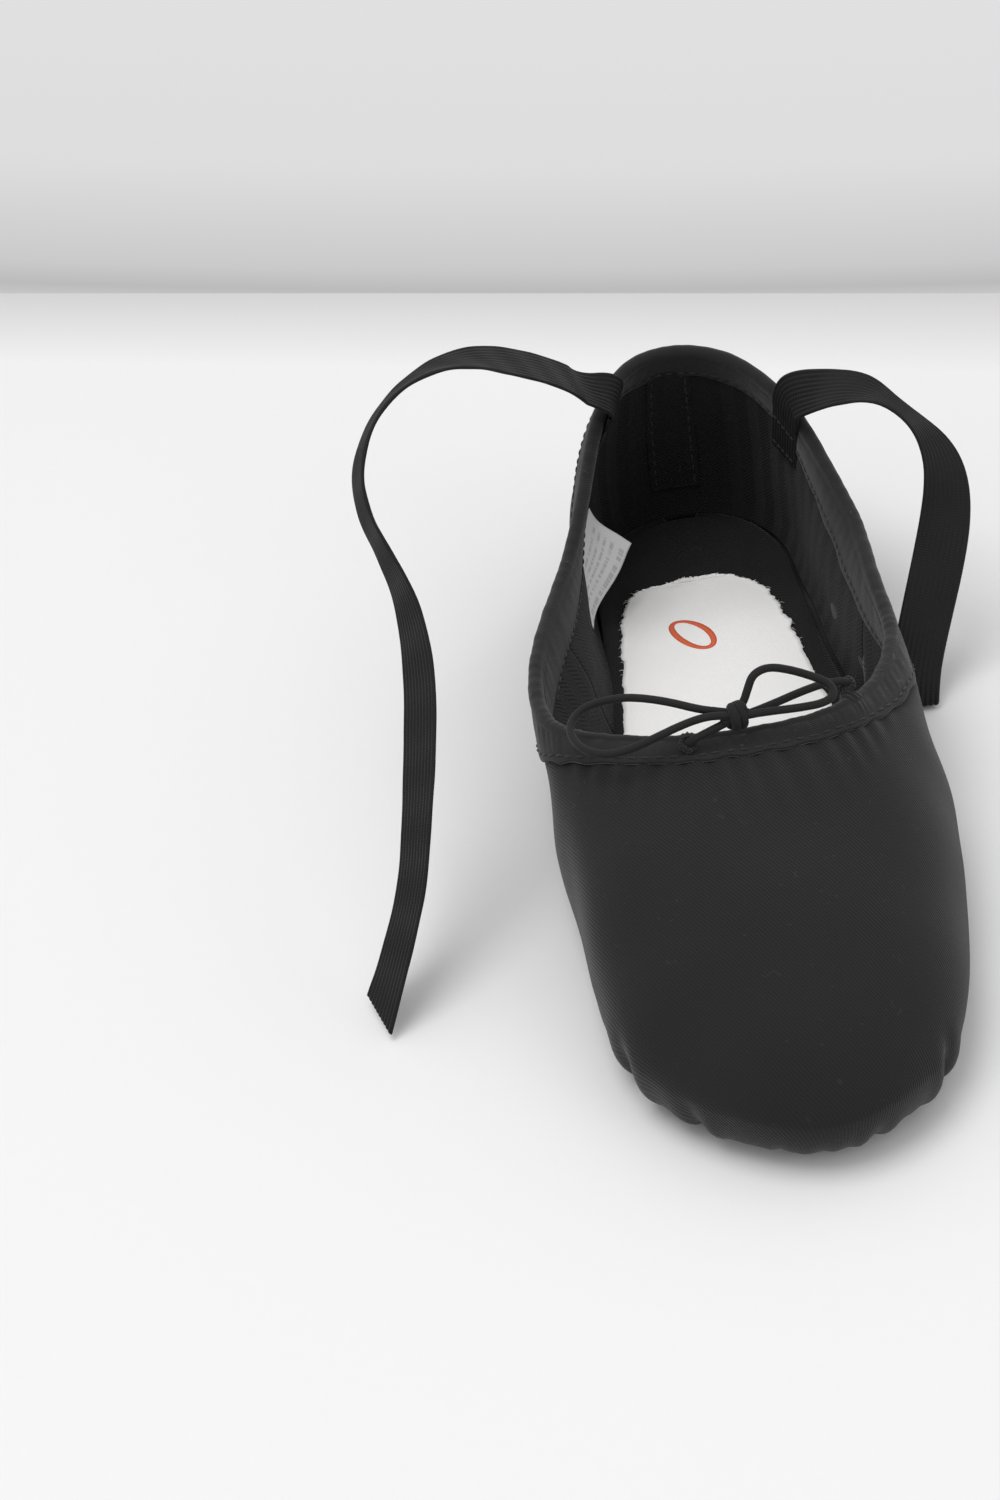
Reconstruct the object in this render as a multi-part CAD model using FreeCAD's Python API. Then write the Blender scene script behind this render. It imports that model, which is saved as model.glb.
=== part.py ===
# Soft split-sole ballet slipper, wearer's left foot.  Millimetres, +Z up, toe to -Y, heel to +Y,
# outer (lateral) side to +X.  The foot opening is the annulus between the sole outline and the topline.
import FreeCAD, Part
import math, os

# ---------------------------------------------------------------- driving dimensions
HALF_W_TOP = [0.7, 9.4, 17.9, 26.3, 33.7, 38.4, 39.5, 37.8, 34.9, 29.7, 24.1, 14.3, 0.0]   # topline half widths, toe to heel
Y_TOP = [-29.6, -29.4, -27.4, -23.1, -14.4, -0.8, 13.3, 30.2, 47.8, 67.0, 86.9, 104.3, 110.9]
Z_TOP = [37.1, 37.3, 37.2, 36.8, 35.6, 35.2, 35.1, 35.7, 37.4, 42.3, 48.5, 54.5, 56.3]
C_TOP = [-3.4, -2.0, -1.9, -3.4, -4.3, -3.6, -2.3, 0.0, 2.8, 4.4, 4.3, 2.6, 1.2]
HALF_W_OUT = [0.0, 17.4, 30.2, 36.6, 39.4, 41.5, 38.9, 33.6, 30.5, 29.7, 27.9, 18.0, 0.0]  # widest outline half widths
Y_OUT = [-122.9, -116.2, -101.1, -79.0, -54.6, -31.0, -7.7, 17.0, 43.0, 68.0, 92.1, 111.1, 118.1]
C_OUT = [1.0, 0.6, -0.9, -0.9, 0.0, -0.3, -0.1, 0.2, 0.1, -0.2, -0.2, -0.1, 0.0]
TOE_FULL = [1.0, 1.0, 0.95, 0.75, 0.4, 0.12, 0, 0, 0, 0, 0, 0, 0]
Z_WIDE = [12, 12, 12, 12, 12, 12.5, 14, 16.5, 17, 15, 14, 14, 14]
DOME = [80, 80, 79, 76, 70, 62, 56, 52, 50, 50, 50, 50, 50]
Z_UNDER = 1.6        # canvas underside where it lies on the suede pads
ARCH_RISE = 4.6      # extra height of the underside at the arch
ROLL_IN = 7.0        # how far the lower edge rolls in
TURN_IN = 9.0        # turned-under canvas beyond the roll
T_CANVAS = 0.9
T_LINING = 0.5
T_BINDING = 0.6
R_CHANNEL = 1.1      # inner radius of the drawstring channel
R_CORD = 0.85        # drawstring radius
W_ELASTIC = 12.0
T_ELASTIC = 0.9
BINDING_DEEP = 8.6
K_FORE, K_HEEL = 6.4, 8.2     # loop stations (of 24) where the flexing arch begins and ends
SHIFT_X, SHIFT_Y = 1.05, 2.4   # moves the bounding box centre onto the origin

V = FreeCAD.Vector
os.makedirs("parts", exist_ok=True)


def full(v):
    return list(v) + list(v)[11:0:-1]


def solve(A, B):
    n = len(A)
    M = [list(A[i]) + [B[i]] for i in range(n)]
    for c in range(n):
        p = max(range(c, n), key=lambda r: abs(M[r][c]))
        M[c], M[p] = M[p], M[c]
        for r in range(c + 1, n):
            f = M[r][c] / M[c][c]
            if f:
                for k in range(c, n + 1):
                    M[r][k] -= f * M[c][k]
    x = [0.0] * n
    for c in range(n - 1, -1, -1):
        x[c] = (M[c][n] - sum(M[c][k] * x[k] for k in range(c + 1, n))) / M[c][c]
    return x


def coef(p):
    n = len(p)
    A = [[0.0] * n for _ in range(n)]
    for i in range(n):
        A[i][i] = 4 / 6.0
        A[i][(i - 1) % n] = A[i][(i + 1) % n] = 1 / 6.0
    return solve(A, p)


def bev(c, k):
    """periodic cubic B-spline value at station k of 24"""
    x = k % 24.0
    i = int(math.floor(x)) % 24
    f = x - math.floor(x)
    return (c[(i - 1) % 24] * (1 - f) ** 3 + c[i] * (3 * f ** 3 - 6 * f * f + 4)
            + c[(i + 1) % 24] * (-3 * f ** 3 + 3 * f * f + 3 * f + 1) + c[(i + 2) % 24] * f ** 3) / 6.0


def sides(half, mid):
    """x at 24 stations: lateral 0..12, then medial"""
    return [mid[k] + half[k] for k in range(13)] + [mid[k] - half[k] for k in range(11, 0, -1)]


OX, OY = coef(sides(HALF_W_OUT, C_OUT)), coef(full(Y_OUT))
TX, TY, TZ = coef(sides(HALF_W_TOP, C_TOP)), coef(full(Y_TOP)), coef(full(Z_TOP))
ZW, DM, TF = coef(full(Z_WIDE)), coef(full(DOME)), coef(full(TOE_FULL))


def smooth(x):
    x = max(0.0, min(1.0, x))
    return x * x * (3 - 2 * x)


def bump(y):
    return smooth((y + 6) / 24.0) * smooth((80 - y) / 30.0)


def surf(k, s):
    """the slipper's outer skin: s 0 at the turned-under edge, 0.35 at the widest line, 1 at the topline"""
    ox, oy = bev(OX, k), bev(OY, k)
    dx, dy = bev(OX, k + .02) - bev(OX, k - .02), bev(OY, k + .02) - bev(OY, k - .02)
    d = math.hypot(dx, dy)
    nx, ny = -dy / d, dx / d
    zm, zu = bev(ZW, k), Z_UNDER + ARCH_RISE * bump(oy)
    if s <= 0.35:
        b = math.pi / 2 * min(1, (0.35 - s) / 0.25)
        inset = ROLL_IN * (1 - math.cos(b)) + (TURN_IN * (0.10 - s) / 0.10 if s < 0.10 else 0)
        return V(ox + nx * inset, oy + ny * inset, zm - (zm - zu) * math.sin(b))
    am, toe = math.radians(bev(DM, k)), bev(TF, k)
    a = (s - 0.35) / 0.65 * am
    I, E = (1 - math.cos(a)) / (1 - math.cos(am)), math.sin(a) / math.sin(am)
    U = E * (1 - .45 * toe) + .45 * toe * I ** 0.8
    return V(ox + (bev(TX, k) - ox) * I, oy + (bev(TY, k) - oy) * I, zm + (bev(TZ, k) - zm) * U)


def normal(k, s):
    e = 0.004
    a, b = surf(k + .03, s), surf(k - .03, s)
    if s > 1 - e:
        c, d = surf(k, s), surf(k, s - e)
    elif s < e:
        c, d = surf(k, s + e), surf(k, s)
    else:
        c, d = surf(k, s + e), surf(k, s - e)
    n = (a - b).cross(c - d)
    n.normalize()
    return n


def off(k, s, d):
    """skin moved outward by d"""
    return surf(k, s) + normal(k, s) * d


WALL = {}


TOPLINE = {}


def near_topline(k):
    """points of the topline around station k"""
    out = []
    for j in range(-110, 111):
        i = (int(round(k * 40)) + j) % 960
        if i not in TOPLINE:
            p = surf(i / 40.0, 1.0)
            TOPLINE[i] = (p.x, p.y, p.z)
        out.append(TOPLINE[i])
    return out


def s_down(k, w):
    """s where the wall is a distance w from the topline"""
    key = round(k % 24, 4)
    if key not in WALL:
        near = near_topline(k)
        L = [0.0]
        for i in range(1, 41):
            p = surf(k, 1 - 0.65 * i / 40.0)
            d = math.sqrt(min((p.x - q[0]) ** 2 + (p.y - q[1]) ** 2 + (p.z - q[2]) ** 2 for q in near))
            L.append(max(L[-1] + 1e-4, d))
        WALL[key] = L
    L = WALL[key]
    for i in range(1, 41):
        if L[i] >= w:
            f = (w - L[i - 1]) / (L[i] - L[i - 1])
            return 1 - 0.65 * (i - 1 + f) / 40.0
    return 0.35


def loft_face(grid):
    """cubic surface with the grid as its control net, so it never overshoots"""
    nu, nv = len(grid), len(grid[0])
    mu, mv = [4] + [1] * (nu - 4) + [4], [4] + [1] * (nv - 4) + [4]
    b = Part.BSplineSurface()
    b.buildFromPolesMultsKnots(grid, mu, mv, [float(i) for i in range(len(mu))], [float(i) for i in range(len(mv))], False, False, 3, 3)
    return b.toShape()


def side_face(a, b):
    """flat-across face between two rows of poles that share a knot vector"""
    n = len(a)
    m = [4] + [1] * (n - 4) + [4]
    f = Part.BSplineSurface()
    f.buildFromPolesMultsKnots([a, b], [2, 2], m, [0.0, 1.0], [float(i) for i in range(len(m))], False, False, 1, 3)
    return f.toShape()


def slab(name, top, bot):
    """closed solid between two point grids of the same size"""
    faces = [loft_face(top), loft_face(bot), side_face(top[0], bot[0]), side_face(top[-1], bot[-1]),
             side_face([r[0] for r in top], [r[0] for r in bot]), side_face([r[-1] for r in top], [r[-1] for r in bot])]
    sh = Part.makeShell(faces)
    sh.sewShape()
    so = Part.makeSolid(sh if sh.ShapeType == "Shell" else sh.Shells[0])
    if so.Volume < 0:
        so.reverse()
    return so


NODES = {}


def add(name, shape):
    NODES[name] = shape


def lerp(a, b, f):
    return a + (b - a) * f


SPREAD = [0.034, 0.068, 0.1, 0.13, 0.16, 0.19, 0.22, 0.25, 0.28, 0.315, 0.35, 0.4, 0.45, 0.5, 0.55, 0.6, 0.65, 0.7, 0.75, 0.8, 0.84]


def skin(name, k0, k1, nk, sfun0, sfun1, ns, d0, d1):
    top, bot = [], []
    for i in range(nk):
        k = lerp(k0, k1, i / (nk - 1.0))
        a, b = sfun0(k), sfun1(k)
        ss = [a] + [v for v in SPREAD if a + .012 < v < b - .02] + [b] if ns == 0 else [lerp(a, b, j / (ns - 1.0)) for j in range(ns)]
        top.append([off(k, s, d0) for s in ss])
        bot.append([off(k, s, d1) for s in ss])
    add(name, slab(name, top, bot))


c0 = lambda k: 0.0
cs = lambda v: (lambda k: v)
ctop = lambda k: s_down(k, 3.0)

GAP = 0.04
PANELS = [("vamp", -K_FORE, K_FORE, 65), ("arch_lateral", K_FORE + GAP, K_HEEL - GAP, 9), ("quarter_lateral", K_HEEL, 11.985, 21),
          ("quarter_medial", 12.015, 24 - K_HEEL, 21), ("arch_medial", 24 - K_HEEL + GAP, 24 - K_FORE - GAP, 9)]
for nm, a, b, n in PANELS:
    skin(nm + "_canvas", a, b, n, c0, ctop, 27, 0.0, -T_CANVAS)
    skin(nm + "_lining", a, b, n, cs(0.235), ctop, 19, -T_CANVAS - 0.1, -T_CANVAS - 0.1 - T_LINING)


# ---------------------------------------------------------------- binding and drawstring channel
def frame_top(k, w=1.75):
    s = s_down(k, w)
    p, n = surf(k, s), normal(k, s)
    u = surf(k, min(1, s + .01)) - surf(k, s - .01)
    t = surf(k + .03, s) - surf(k - .03, s)
    t.normalize()
    u = u - t * u.dot(t)
    u.normalize()
    return p, n, u


MID = -(T_CANVAS + 0.1 + T_LINING) / 2


def channel_centre(k):
    p, n, u = frame_top(k)
    return p + n * MID


def hoop(k, r):
    """section of the folded binding: r is the radius round the channel"""
    p, n, u = frame_top(k)
    e = r - R_CHANNEL        # 0 on the inner face, the thickness on the outer
    pts = []
    for w, g in ((BINDING_DEEP, 0.1), (6.4, 0.1), (4.6, 0.12)):
        pts.append(off(k, s_down(k, w), g + e))
    for a in (-25, 0, 30, 60, 90, 120, 150, 180, 205):
        t = math.radians(a)
        pts.append(p + n * (MID + r * math.cos(t)) + u * (r * math.sin(t)))
    for w, g in ((4.6, 0.12), (6.4, 0.1), (BINDING_DEEP, 0.1)):
        pts.append(off(k, s_down(k, w), 2 * MID - g - e))
    return pts


for nm, a, b, n in (("front", -K_FORE, K_FORE, 65), ("arch_lateral", K_FORE + GAP, K_HEEL - GAP, 9), ("heel_lateral", K_HEEL, 11.985, 25), ("heel_medial", 12.015, 24 - K_HEEL, 25),
                    ("arch_medial", 24 - K_HEEL + GAP, 24 - K_FORE - GAP, 9)):
    top, bot = [], []
    for i in range(n):
        k = lerp(a, b, i / (n - 1.0))
        top.append(hoop(k, R_CHANNEL + T_BINDING))
        bot.append(hoop(k, R_CHANNEL))
    add("binding_" + nm, slab(nm, top, bot))


def tube(points, r, close=False):
    """round cord along straight runs joined by tangent arcs"""
    P = [V(*p) if not isinstance(p, V) else p for p in points]
    edges, last, rad = [], P[0], []
    for i in range(1, len(P) - 1):
        a, b = P[i - 1] - P[i], P[i + 1] - P[i]
        la, lb = a.Length, b.Length
        a.normalize()
        b.normalize()
        turn = math.pi - a.getAngle(b)
        if turn < 1e-3:
            continue
        t = 0.45 * min(la, lb)
        R = t / math.tan(turn / 2)
        rad.append(R)
        p, q = P[i] + a * t, P[i] + b * t
        m = (a + b)
        m.normalize()
        c = P[i] + m * (R / math.cos(turn / 2))
        mid = c - m * R
        edges.append(Part.makeLine(last, p))
        edges.append(Part.Arc(p, mid, q).toShape())
        last = q
    edges.append(Part.makeLine(last, P[-1]))
    w = Part.Wire(edges)
    d = edges[0].tangentAt(edges[0].FirstParameter)
    circ = Part.Wire([Part.makeCircle(r, P[0], d)])
    so = w.makePipeShell([circ], True, True)
    L = sum(e.Length for e in edges)
    if so.Volume < 0:
        so.reverse()
    return so, L, (min(rad) if rad else 0)


def cord(name, pts, r=R_CORD):
    so, L, mr = tube(pts, r)
    print("%-26s length %6.1f  least arc radius %5.1f  volume/section %.3f" % (name, L, mr, so.Volume / (math.pi * r * r * L)))
    add(name, so)


def channel_run(name, a, b, n):
    cord(name, [channel_centre(lerp(a, b, i / (n - 1.0))) for i in range(n)])


K_EXIT_L, K_EXIT_M = 3.6, -1.2          # stations where the drawstring leaves the channel
channel_run("drawstring_front_lateral", K_EXIT_L + 0.1, K_FORE - 0.03, 17)
channel_run("drawstring_front_medial", K_EXIT_M - 0.1, -K_FORE + 0.03, 31)
channel_run("drawstring_arch_lateral", K_FORE + GAP, K_HEEL - GAP, 12)
channel_run("drawstring_arch_medial", 24 - K_HEEL + GAP, 24 - K_FORE - GAP, 12)
channel_run("drawstring_heel", K_HEEL, 24 - K_HEEL, 33)

# ---------------------------------------------------------------- bow
KNOT = V(-1.5, -33.6, 42.6)
BOW = {
    "bow_strand_lateral": [(22.4, -22.0, 39.7), (18.6, -22.3, 40.2), (13.2, -25.0, 40.8), (7.0, -28.8, 41.4), (2.3, -31.9, 42.2)],
    "bow_strand_medial": [(-5.0, -34.9, 42.0), (-8.2, -35.6, 41.2), (-11.4, -35.8, 39.9)],
    "bow_loop_medial": [(-4.4, -32.4, 43.8), (-8.5, -31.8, 44.6), (-15.0, -27.5, 45.0), (-21.7, -23.6, 44.6), (-26.5, -22.2, 43.9), (-31.5, -22.6, 43.2), (-34.6, -25.6, 42.6),
                        (-35.4, -30.0, 42.0), (-33.4, -35.4, 41.6), (-29.0, -38.6, 41.5), (-24.0, -38.4, 41.8), (-18.5, -36.4, 42.4), (-12.6, -34.6, 43.4), (-8.0, -34.4, 44.4), (-4.4, -34.7, 44.4)],
    "bow_loop_lateral": [(0.4, -32.2, 44.9), (1.6, -31.4, 47.6), (3.0, -30.2, 50.2), (6.4, -28.9, 50.6), (10.8, -28.6, 48.9), (15.2, -29.2, 46.9), (18.4, -30.2, 45.2),
                         (19.0, -32.4, 43.9), (16.6, -34.2, 43.4), (11.5, -34.6, 43.4), (6.0, -34.6, 43.6), (1.9, -34.6, 43.6)],
}
for nm, pts in BOW.items():
    cord(nm, pts)
kn = Part.makeSphere(3.0)
m = FreeCAD.Matrix()
m.scale(1.0, 0.62, 0.78)
kn = kn.transformGeometry(m)
kn.translate(KNOT)
add("bow_knot", kn)


# ---------------------------------------------------------------- sole stack
def inset_pt(k, d, z=0.0):
    ox, oy = bev(OX, k), bev(OY, k)
    dx, dy = bev(OX, k + .02) - bev(OX, k - .02), bev(OY, k + .02) - bev(OY, k - .02)
    n = math.hypot(dx, dy)
    return V(ox - dy / n * d, oy + dx / n * d, z)


def pad(name, k0, k1, d, bulge, z0, z1, n=25):
    """flat piece: follows the outline inset by d from station k0 to k1, closed by a rounded end"""
    pts = [inset_pt(lerp(k0, k1, i / (n - 1.0)), d) for i in range(n)]
    a, b = pts[0], pts[-1]
    mid, half = (a + b) * 0.5, (a - b) * 0.5
    for i in range(1, 8):
        t = math.pi * i / 8.0
        pts.append(mid - half * math.cos(t) + V(0, bulge * math.sin(t), 0))
    c = Part.BSplineCurve()
    c.interpolate([V(p.x, p.y, z0) for p in pts], PeriodicFlag=True)
    add(name, Part.Face(Part.Wire([c.toShape()])).extrude(V(0, 0, z1 - z0)))


pad("outsole_forefoot", -5.5, 5.5, 9.0, 12.0, 0.0, 1.5)
pad("outsole_heel", 9.7, 14.3, 8.5, -10.0, 0.0, 1.5)
pad("insole_board_forefoot", -5.5, 5.5, 8.6, 9.0, 2.65, 3.6)
pad("insole_board_heel", 9.7, 14.3, 8.6, -8.0, 2.65, 3.6)
pad("foam_forefoot", -5.5, 5.5, 7.6, 9.0, 3.7, 5.5)
pad("foam_heel", 9.7, 14.3, 7.6, -8.0, 3.7, 5.5)


def half_widths(y):
    """x of the outline on the outer and inner side at y"""
    out = []
    for lo, hi in ((0.0, 12.0), (24.0, 12.0)):
        a, b = lo, hi
        for _ in range(40):
            m_ = (a + b) / 2
            if bev(OY, m_) < y:
                a = m_
            else:
                b = m_
        out.append(bev(OX, (a + b) / 2))
    return out


def floor_z(y):
    return 5.65 + 2.9 * bump(y)


def rows(name, k0, k1, dl, dm, z_add, th, n=27, tail=None):
    """foot-bed sheet: each row joins the outer and inner edge at one station, k counted from the toe"""
    top, bot = [], []
    for i in range(n):
        k = lerp(k0, k1, i / (n - 1.0))
        y = bev(OY, k)
        a, b = inset_pt(k, dl(y)), inset_pt(-k, dm(y))
        rt, rb = [], []
        for j in range(7):
            f = j / 6.0
            p = a + (b - a) * f
            yy = p.y + (tail(f) * (i / (n - 1.0)) ** 3 if tail else 0)
            z = floor_z(yy) + z_add
            rt.append(V(p.x, yy, z + th))
            rb.append(V(p.x, yy, z))
        top.append(rt)
        bot.append(rb)
    add(name, slab(name, top, bot))


sock_l = lambda y: lerp(7.4, 11.2, smooth((y + 100) / 90.0)) + 8.0 * smooth((y - 58) / 24.0)
sock_m = lambda y: lerp(7.4, 9.6, smooth((y + 100) / 90.0)) + 3.0 * smooth((y - 62) / 20.0)
even = lambda y: 6.3
rows("floor_lining_forefoot", 0.5, 6.58, even, even, 0.0, 0.5, 33)
rows("floor_lining_arch", 6.66, 8.22, even, even, 0.0, 0.5, 9)
rows("floor_lining_heel", 8.27, 11.7, even, even, 0.0, 0.5, 21)
rows("sock_forefoot", 0.5, 6.58, sock_l, sock_m, 0.6, 0.5, 33)
rows("sock_arch", 6.66, 8.22, sock_l, sock_m, 0.6, 0.5, 9)
rows("sock_heel", 8.27, 9.36, sock_l, sock_m, 0.6, 0.5, 13, lambda f: 5.0 * math.sin(math.pi * min(1.0, f * 1.05)) - 5.0 * smooth((0.4 - f) / 0.4))

# canvas gusset under the arch, between the turned-under edges
top, bot = [], []
for i in range(9):
    y = lerp(8.0, 50.0, i / 8.0)
    xl, xm = half_widths(y)
    z = Z_UNDER + ARCH_RISE * bump(y)
    top.append([V(lerp(xm + 16.6, xl - 16.6, j / 4.0), y, z + T_CANVAS) for j in range(5)])
    bot.append([V(lerp(xm + 16.6, xl - 16.6, j / 4.0), y, z) for j in range(5)])
add("arch_underlay", slab("u", top, bot))

# ---------------------------------------------------------------- small heel pieces
def patch_on_wall(name, k0, k1, w0, w1, d0, d1, nk=5, nw=8, curl=None):
    top, bot = [], []
    for i in range(nk):
        k = lerp(k0, k1, i / (nk - 1.0))
        top.append([off(k, s_down(k, lerp(w0, w1, j / (nw - 1.0))), d0 - (curl(j / (nw - 1.0)) if curl else 0)) for j in range(nw)])
        bot.append([off(k, s_down(k, lerp(w0, w1, j / (nw - 1.0))), d1 - (curl(j / (nw - 1.0)) if curl else 0)) for j in range(nw)])
    add(name, slab(name, top, bot))


patch_on_wall("back_seam_tape", 11.62, 12.38, BINDING_DEEP + 0.4, 41.0, -1.6, -2.1)
patch_on_wall("elastic_tab_lateral", 9.55, 10.2, 2.2, 21.0, -2.6, -3.5)
patch_on_wall("elastic_tab_medial", 24 - 10.75, 24 - 10.1, 3.2, 21.0, -2.6, -3.5)


# ---------------------------------------------------------------- elastics
def ribbon(name, st, width=W_ELASTIC, th=T_ELASTIC):
    """flat band through (centre, width direction) stations"""
    top, bot = [], []
    n = len(st)
    P = [V(*s[0]) for s in st]
    L = sum((P[i + 1] - P[i]).Length for i in range(n - 1))
    for i in range(n):
        t = P[min(i + 1, n - 1)] - P[max(i - 1, 0)]
        t.normalize()
        u = V(*st[i][1])
        u = u - t * u.dot(t)
        u.normalize()
        m_ = t.cross(u)
        top.append([P[i] + u * (width * f) + m_ * (th / 2) for f in (-.5, -.25, 0, .25, .5)])
        bot.append([P[i] + u * (width * f) - m_ * (th / 2) for f in (-.5, -.25, 0, .25, .5)])
    so = slab(name, top, bot)
    print("%-26s length %6.1f  volume/section %.3f" % (name, L, so.Volume / (width * th * L)))
    add(name, so)


from_stations = None
def root(kc, side):
    """first stations of a strap, from just above its sewn tab to clear of the binding"""
    p, n, u = frame_top(kc, 1.5)
    t = surf(kc + side * .05, 1.0) - surf(kc - side * .05, 1.0)
    t.normalize()
    a = p + n * -3.35 + u * 0.2
    b, c = p + n * -3.25 + u * 3.2, p + n * -2.4 + u * 6.4
    print("root", kc, [round(v, 2) for v in (a.x + SHIFT_X, a.y + SHIFT_Y, a.z)], [round(v, 3) for v in t])
    return [((q.x, q.y, q.z), (t.x, t.y, t.z)) for q in (a, b, c)]


ELASTIC_MEDIAL = root(13.575, 1) + [
    ((-20.2, 86.0, 60.0), (-.10, -.97, .12)), ((-24.2, 79.6, 67.0), (-.02, -.99, .08)), ((-30.0, 72.0, 74.4), (.02, -.99, .04)), ((-37.7, 63.6, 81.8), (-.05, -.98, .10)),
    ((-45.8, 54.0, 88.2), (-.05, -.97, .22)), ((-54.2, 44.0, 92.0), (-.05, -.95, .30)), ((-62.6, 34.6, 92.2), (-.02, -.94, .34)), ((-69.0, 26.6, 88.6), (.10, -.92, .37)),
    ((-72.4, 19.2, 82.2), (.22, -.90, .36)), ((-71.8, 12.8, 75.7), (.28, -.86, .42)), ((-68.8, 6.4, 69.8), (.28, -.78, .55)), ((-66.2, 0.8, 64.2), (.36, -.68, .62)),
    ((-64.8, -5.2, 58.5), (.50, -.59, .63)), ((-64.6, -15.0, 50.2), (.62, -.55, .56)), ((-66.8, -27.0, 39.4), (.60, -.66, .44)), ((-69.0, -36.8, 31.0), (.54, -.72, .44)),
    ((-71.6, -45.8, 21.6), (.54, -.70, .46)), ((-75.2, -52.6, 14.6), (.54, -.70, .42)), ((-79.0, -58.0, 7.6), (.53, -.78, .32)), ((-82.0, -61.8, 2.2), (.55, -.80, .22)),
]
ELASTIC_LATERAL = root(9.875, -1) + [
    ((34.0, 74.0, 57.0), (-.08, -.96, -.24)), ((38.9, 70.0, 58.9), (-.08, -.98, -.14)), ((43.9, 66.0, 59.2), (-.05, -.99, -.02)), ((49.2, 61.8, 57.2), (-.16, -.95, .24)), ((54.6, 57.2, 52.6), (-.48, -.80, .34)),
    ((57.6, 53.2, 47.0), (-.76, -.59, .25)), ((58.2, 49.8, 41.0), (-.91, -.38, .12)), ((56.8, 45.8, 34.2), (-.98, -.16, .02)), ((53.6, 40.2, 26.4), (-.99, .02, .02)),
    ((49.0, 32.6, 17.4), (-.97, -.02, .22)), ((45.0, 25.6, 9.6), (-.96, -.05, .26)), ((43.2, 20.8, 4.4), (-.98, -.04, .14)), ((42.8, 19.6, 1.9), (-.99, -.02, .04)),
    ((42.6, 21.6, 0.6), (-.99, -.02, 0)), ((42.6, 28.0, 0.6), (-.99, -.02, 0)), ((42.4, 38.0, 0.6), (-.99, -.06, 0)), ((41.2, 48.0, 0.6), (-.98, -.14, 0)), ((39.6, 58.0, 0.6), (-.96, -.2, 0)), ((37.4, 67.0, 0.6), (-.95, -.26, 0)),
]
ribbon("elastic_medial", ELASTIC_MEDIAL)
ribbon("elastic_lateral", ELASTIC_LATERAL)

# folded satin care label hanging from the inner wall
LABEL = [
    ((-25.4, 62.0, 31.5), (.165, .98, .13)), ((-25.0, 62.4, 28.4), (.20, .97, .14)), ((-23.6, 63.2, 25.0), (.26, .95, .16)), ((-21.8, 64.2, 21.6), (.34, .92, .18)), ((-20.2, 65.0, 18.2), (.40, .89, .2)),
]
ribbon("care_label", LABEL, 30.0, 0.35)

# ---------------------------------------------------------------- write out
for name, sh in NODES.items():
    sh = sh.copy()
    sh.translate(V(SHIFT_X, SHIFT_Y, 0))
    bb = sh.BoundBox
    print("%-26s valid %s solids %d vol %9.1f  x %.1f..%.1f y %.1f..%.1f z %.1f..%.1f" % (
        name, sh.isValid(), len(sh.Solids), sh.Volume, bb.XMin, bb.XMax, bb.YMin, bb.YMax, bb.ZMin, bb.ZMax))
    sh.exportStep("parts/%s.step" % name)
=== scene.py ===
# Soft split-sole ballet slipper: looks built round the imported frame.
import math

import bmesh
import bpy
import numpy as np
from mathutils import Matrix, Vector


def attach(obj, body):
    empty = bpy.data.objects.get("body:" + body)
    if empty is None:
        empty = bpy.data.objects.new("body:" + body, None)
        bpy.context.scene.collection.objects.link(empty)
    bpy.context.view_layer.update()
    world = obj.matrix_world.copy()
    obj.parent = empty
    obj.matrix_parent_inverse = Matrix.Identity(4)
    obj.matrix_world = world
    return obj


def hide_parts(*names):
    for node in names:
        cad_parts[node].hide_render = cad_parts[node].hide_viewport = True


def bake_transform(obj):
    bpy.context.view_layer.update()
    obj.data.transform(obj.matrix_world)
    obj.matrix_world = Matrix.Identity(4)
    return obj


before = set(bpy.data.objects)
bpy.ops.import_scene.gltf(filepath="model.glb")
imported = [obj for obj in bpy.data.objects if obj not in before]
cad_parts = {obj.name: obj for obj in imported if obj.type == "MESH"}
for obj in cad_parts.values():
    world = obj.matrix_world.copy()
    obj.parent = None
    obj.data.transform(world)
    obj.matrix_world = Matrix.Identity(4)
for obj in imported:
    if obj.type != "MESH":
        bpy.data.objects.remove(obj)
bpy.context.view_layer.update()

scene = bpy.context.scene
rng = np.random.default_rng(7)
SX, SY = 1.05, 2.4          # row frame = drawing frame + shift (mm)

# ------------------------------------------------------------------ shape (mm in the drawing frame, as in the CAD)
HALF_W_TOP = [0.7, 9.4, 17.9, 26.3, 33.7, 38.4, 39.5, 37.8, 34.9, 29.7, 24.1, 14.3, 0.0]
Y_TOP = [-29.6, -29.4, -27.4, -23.1, -14.4, -0.8, 13.3, 30.2, 47.8, 67.0, 86.9, 104.3, 110.9]
Z_TOP = [37.1, 37.3, 37.2, 36.8, 35.6, 35.2, 35.1, 35.7, 37.4, 42.3, 48.5, 54.5, 56.3]
C_TOP = [-3.4, -2.0, -1.9, -3.4, -4.3, -3.6, -2.3, 0.0, 2.8, 4.4, 4.3, 2.6, 1.2]
HALF_W_OUT = [0.0, 17.4, 30.2, 36.6, 39.4, 41.5, 38.9, 33.6, 30.5, 29.7, 27.9, 18.0, 0.0]
Y_OUT = [-122.9, -116.2, -101.1, -79.0, -54.6, -31.0, -7.7, 17.0, 43.0, 68.0, 92.1, 111.1, 118.1]
C_OUT = [1.0, 0.6, -0.9, -0.9, 0.0, -0.3, -0.1, 0.2, 0.1, -0.2, -0.2, -0.1, 0.0]
TOE_FULL = [1.0, 1.0, 0.95, 0.75, 0.4, 0.12, 0, 0, 0, 0, 0, 0, 0]
Z_WIDE = [12, 12, 12, 12, 12, 12.5, 14, 16.5, 17, 15, 14, 14, 14]
DOME = [80, 80, 79, 76, 70, 62, 56, 52, 50, 50, 50, 50, 50]
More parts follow.
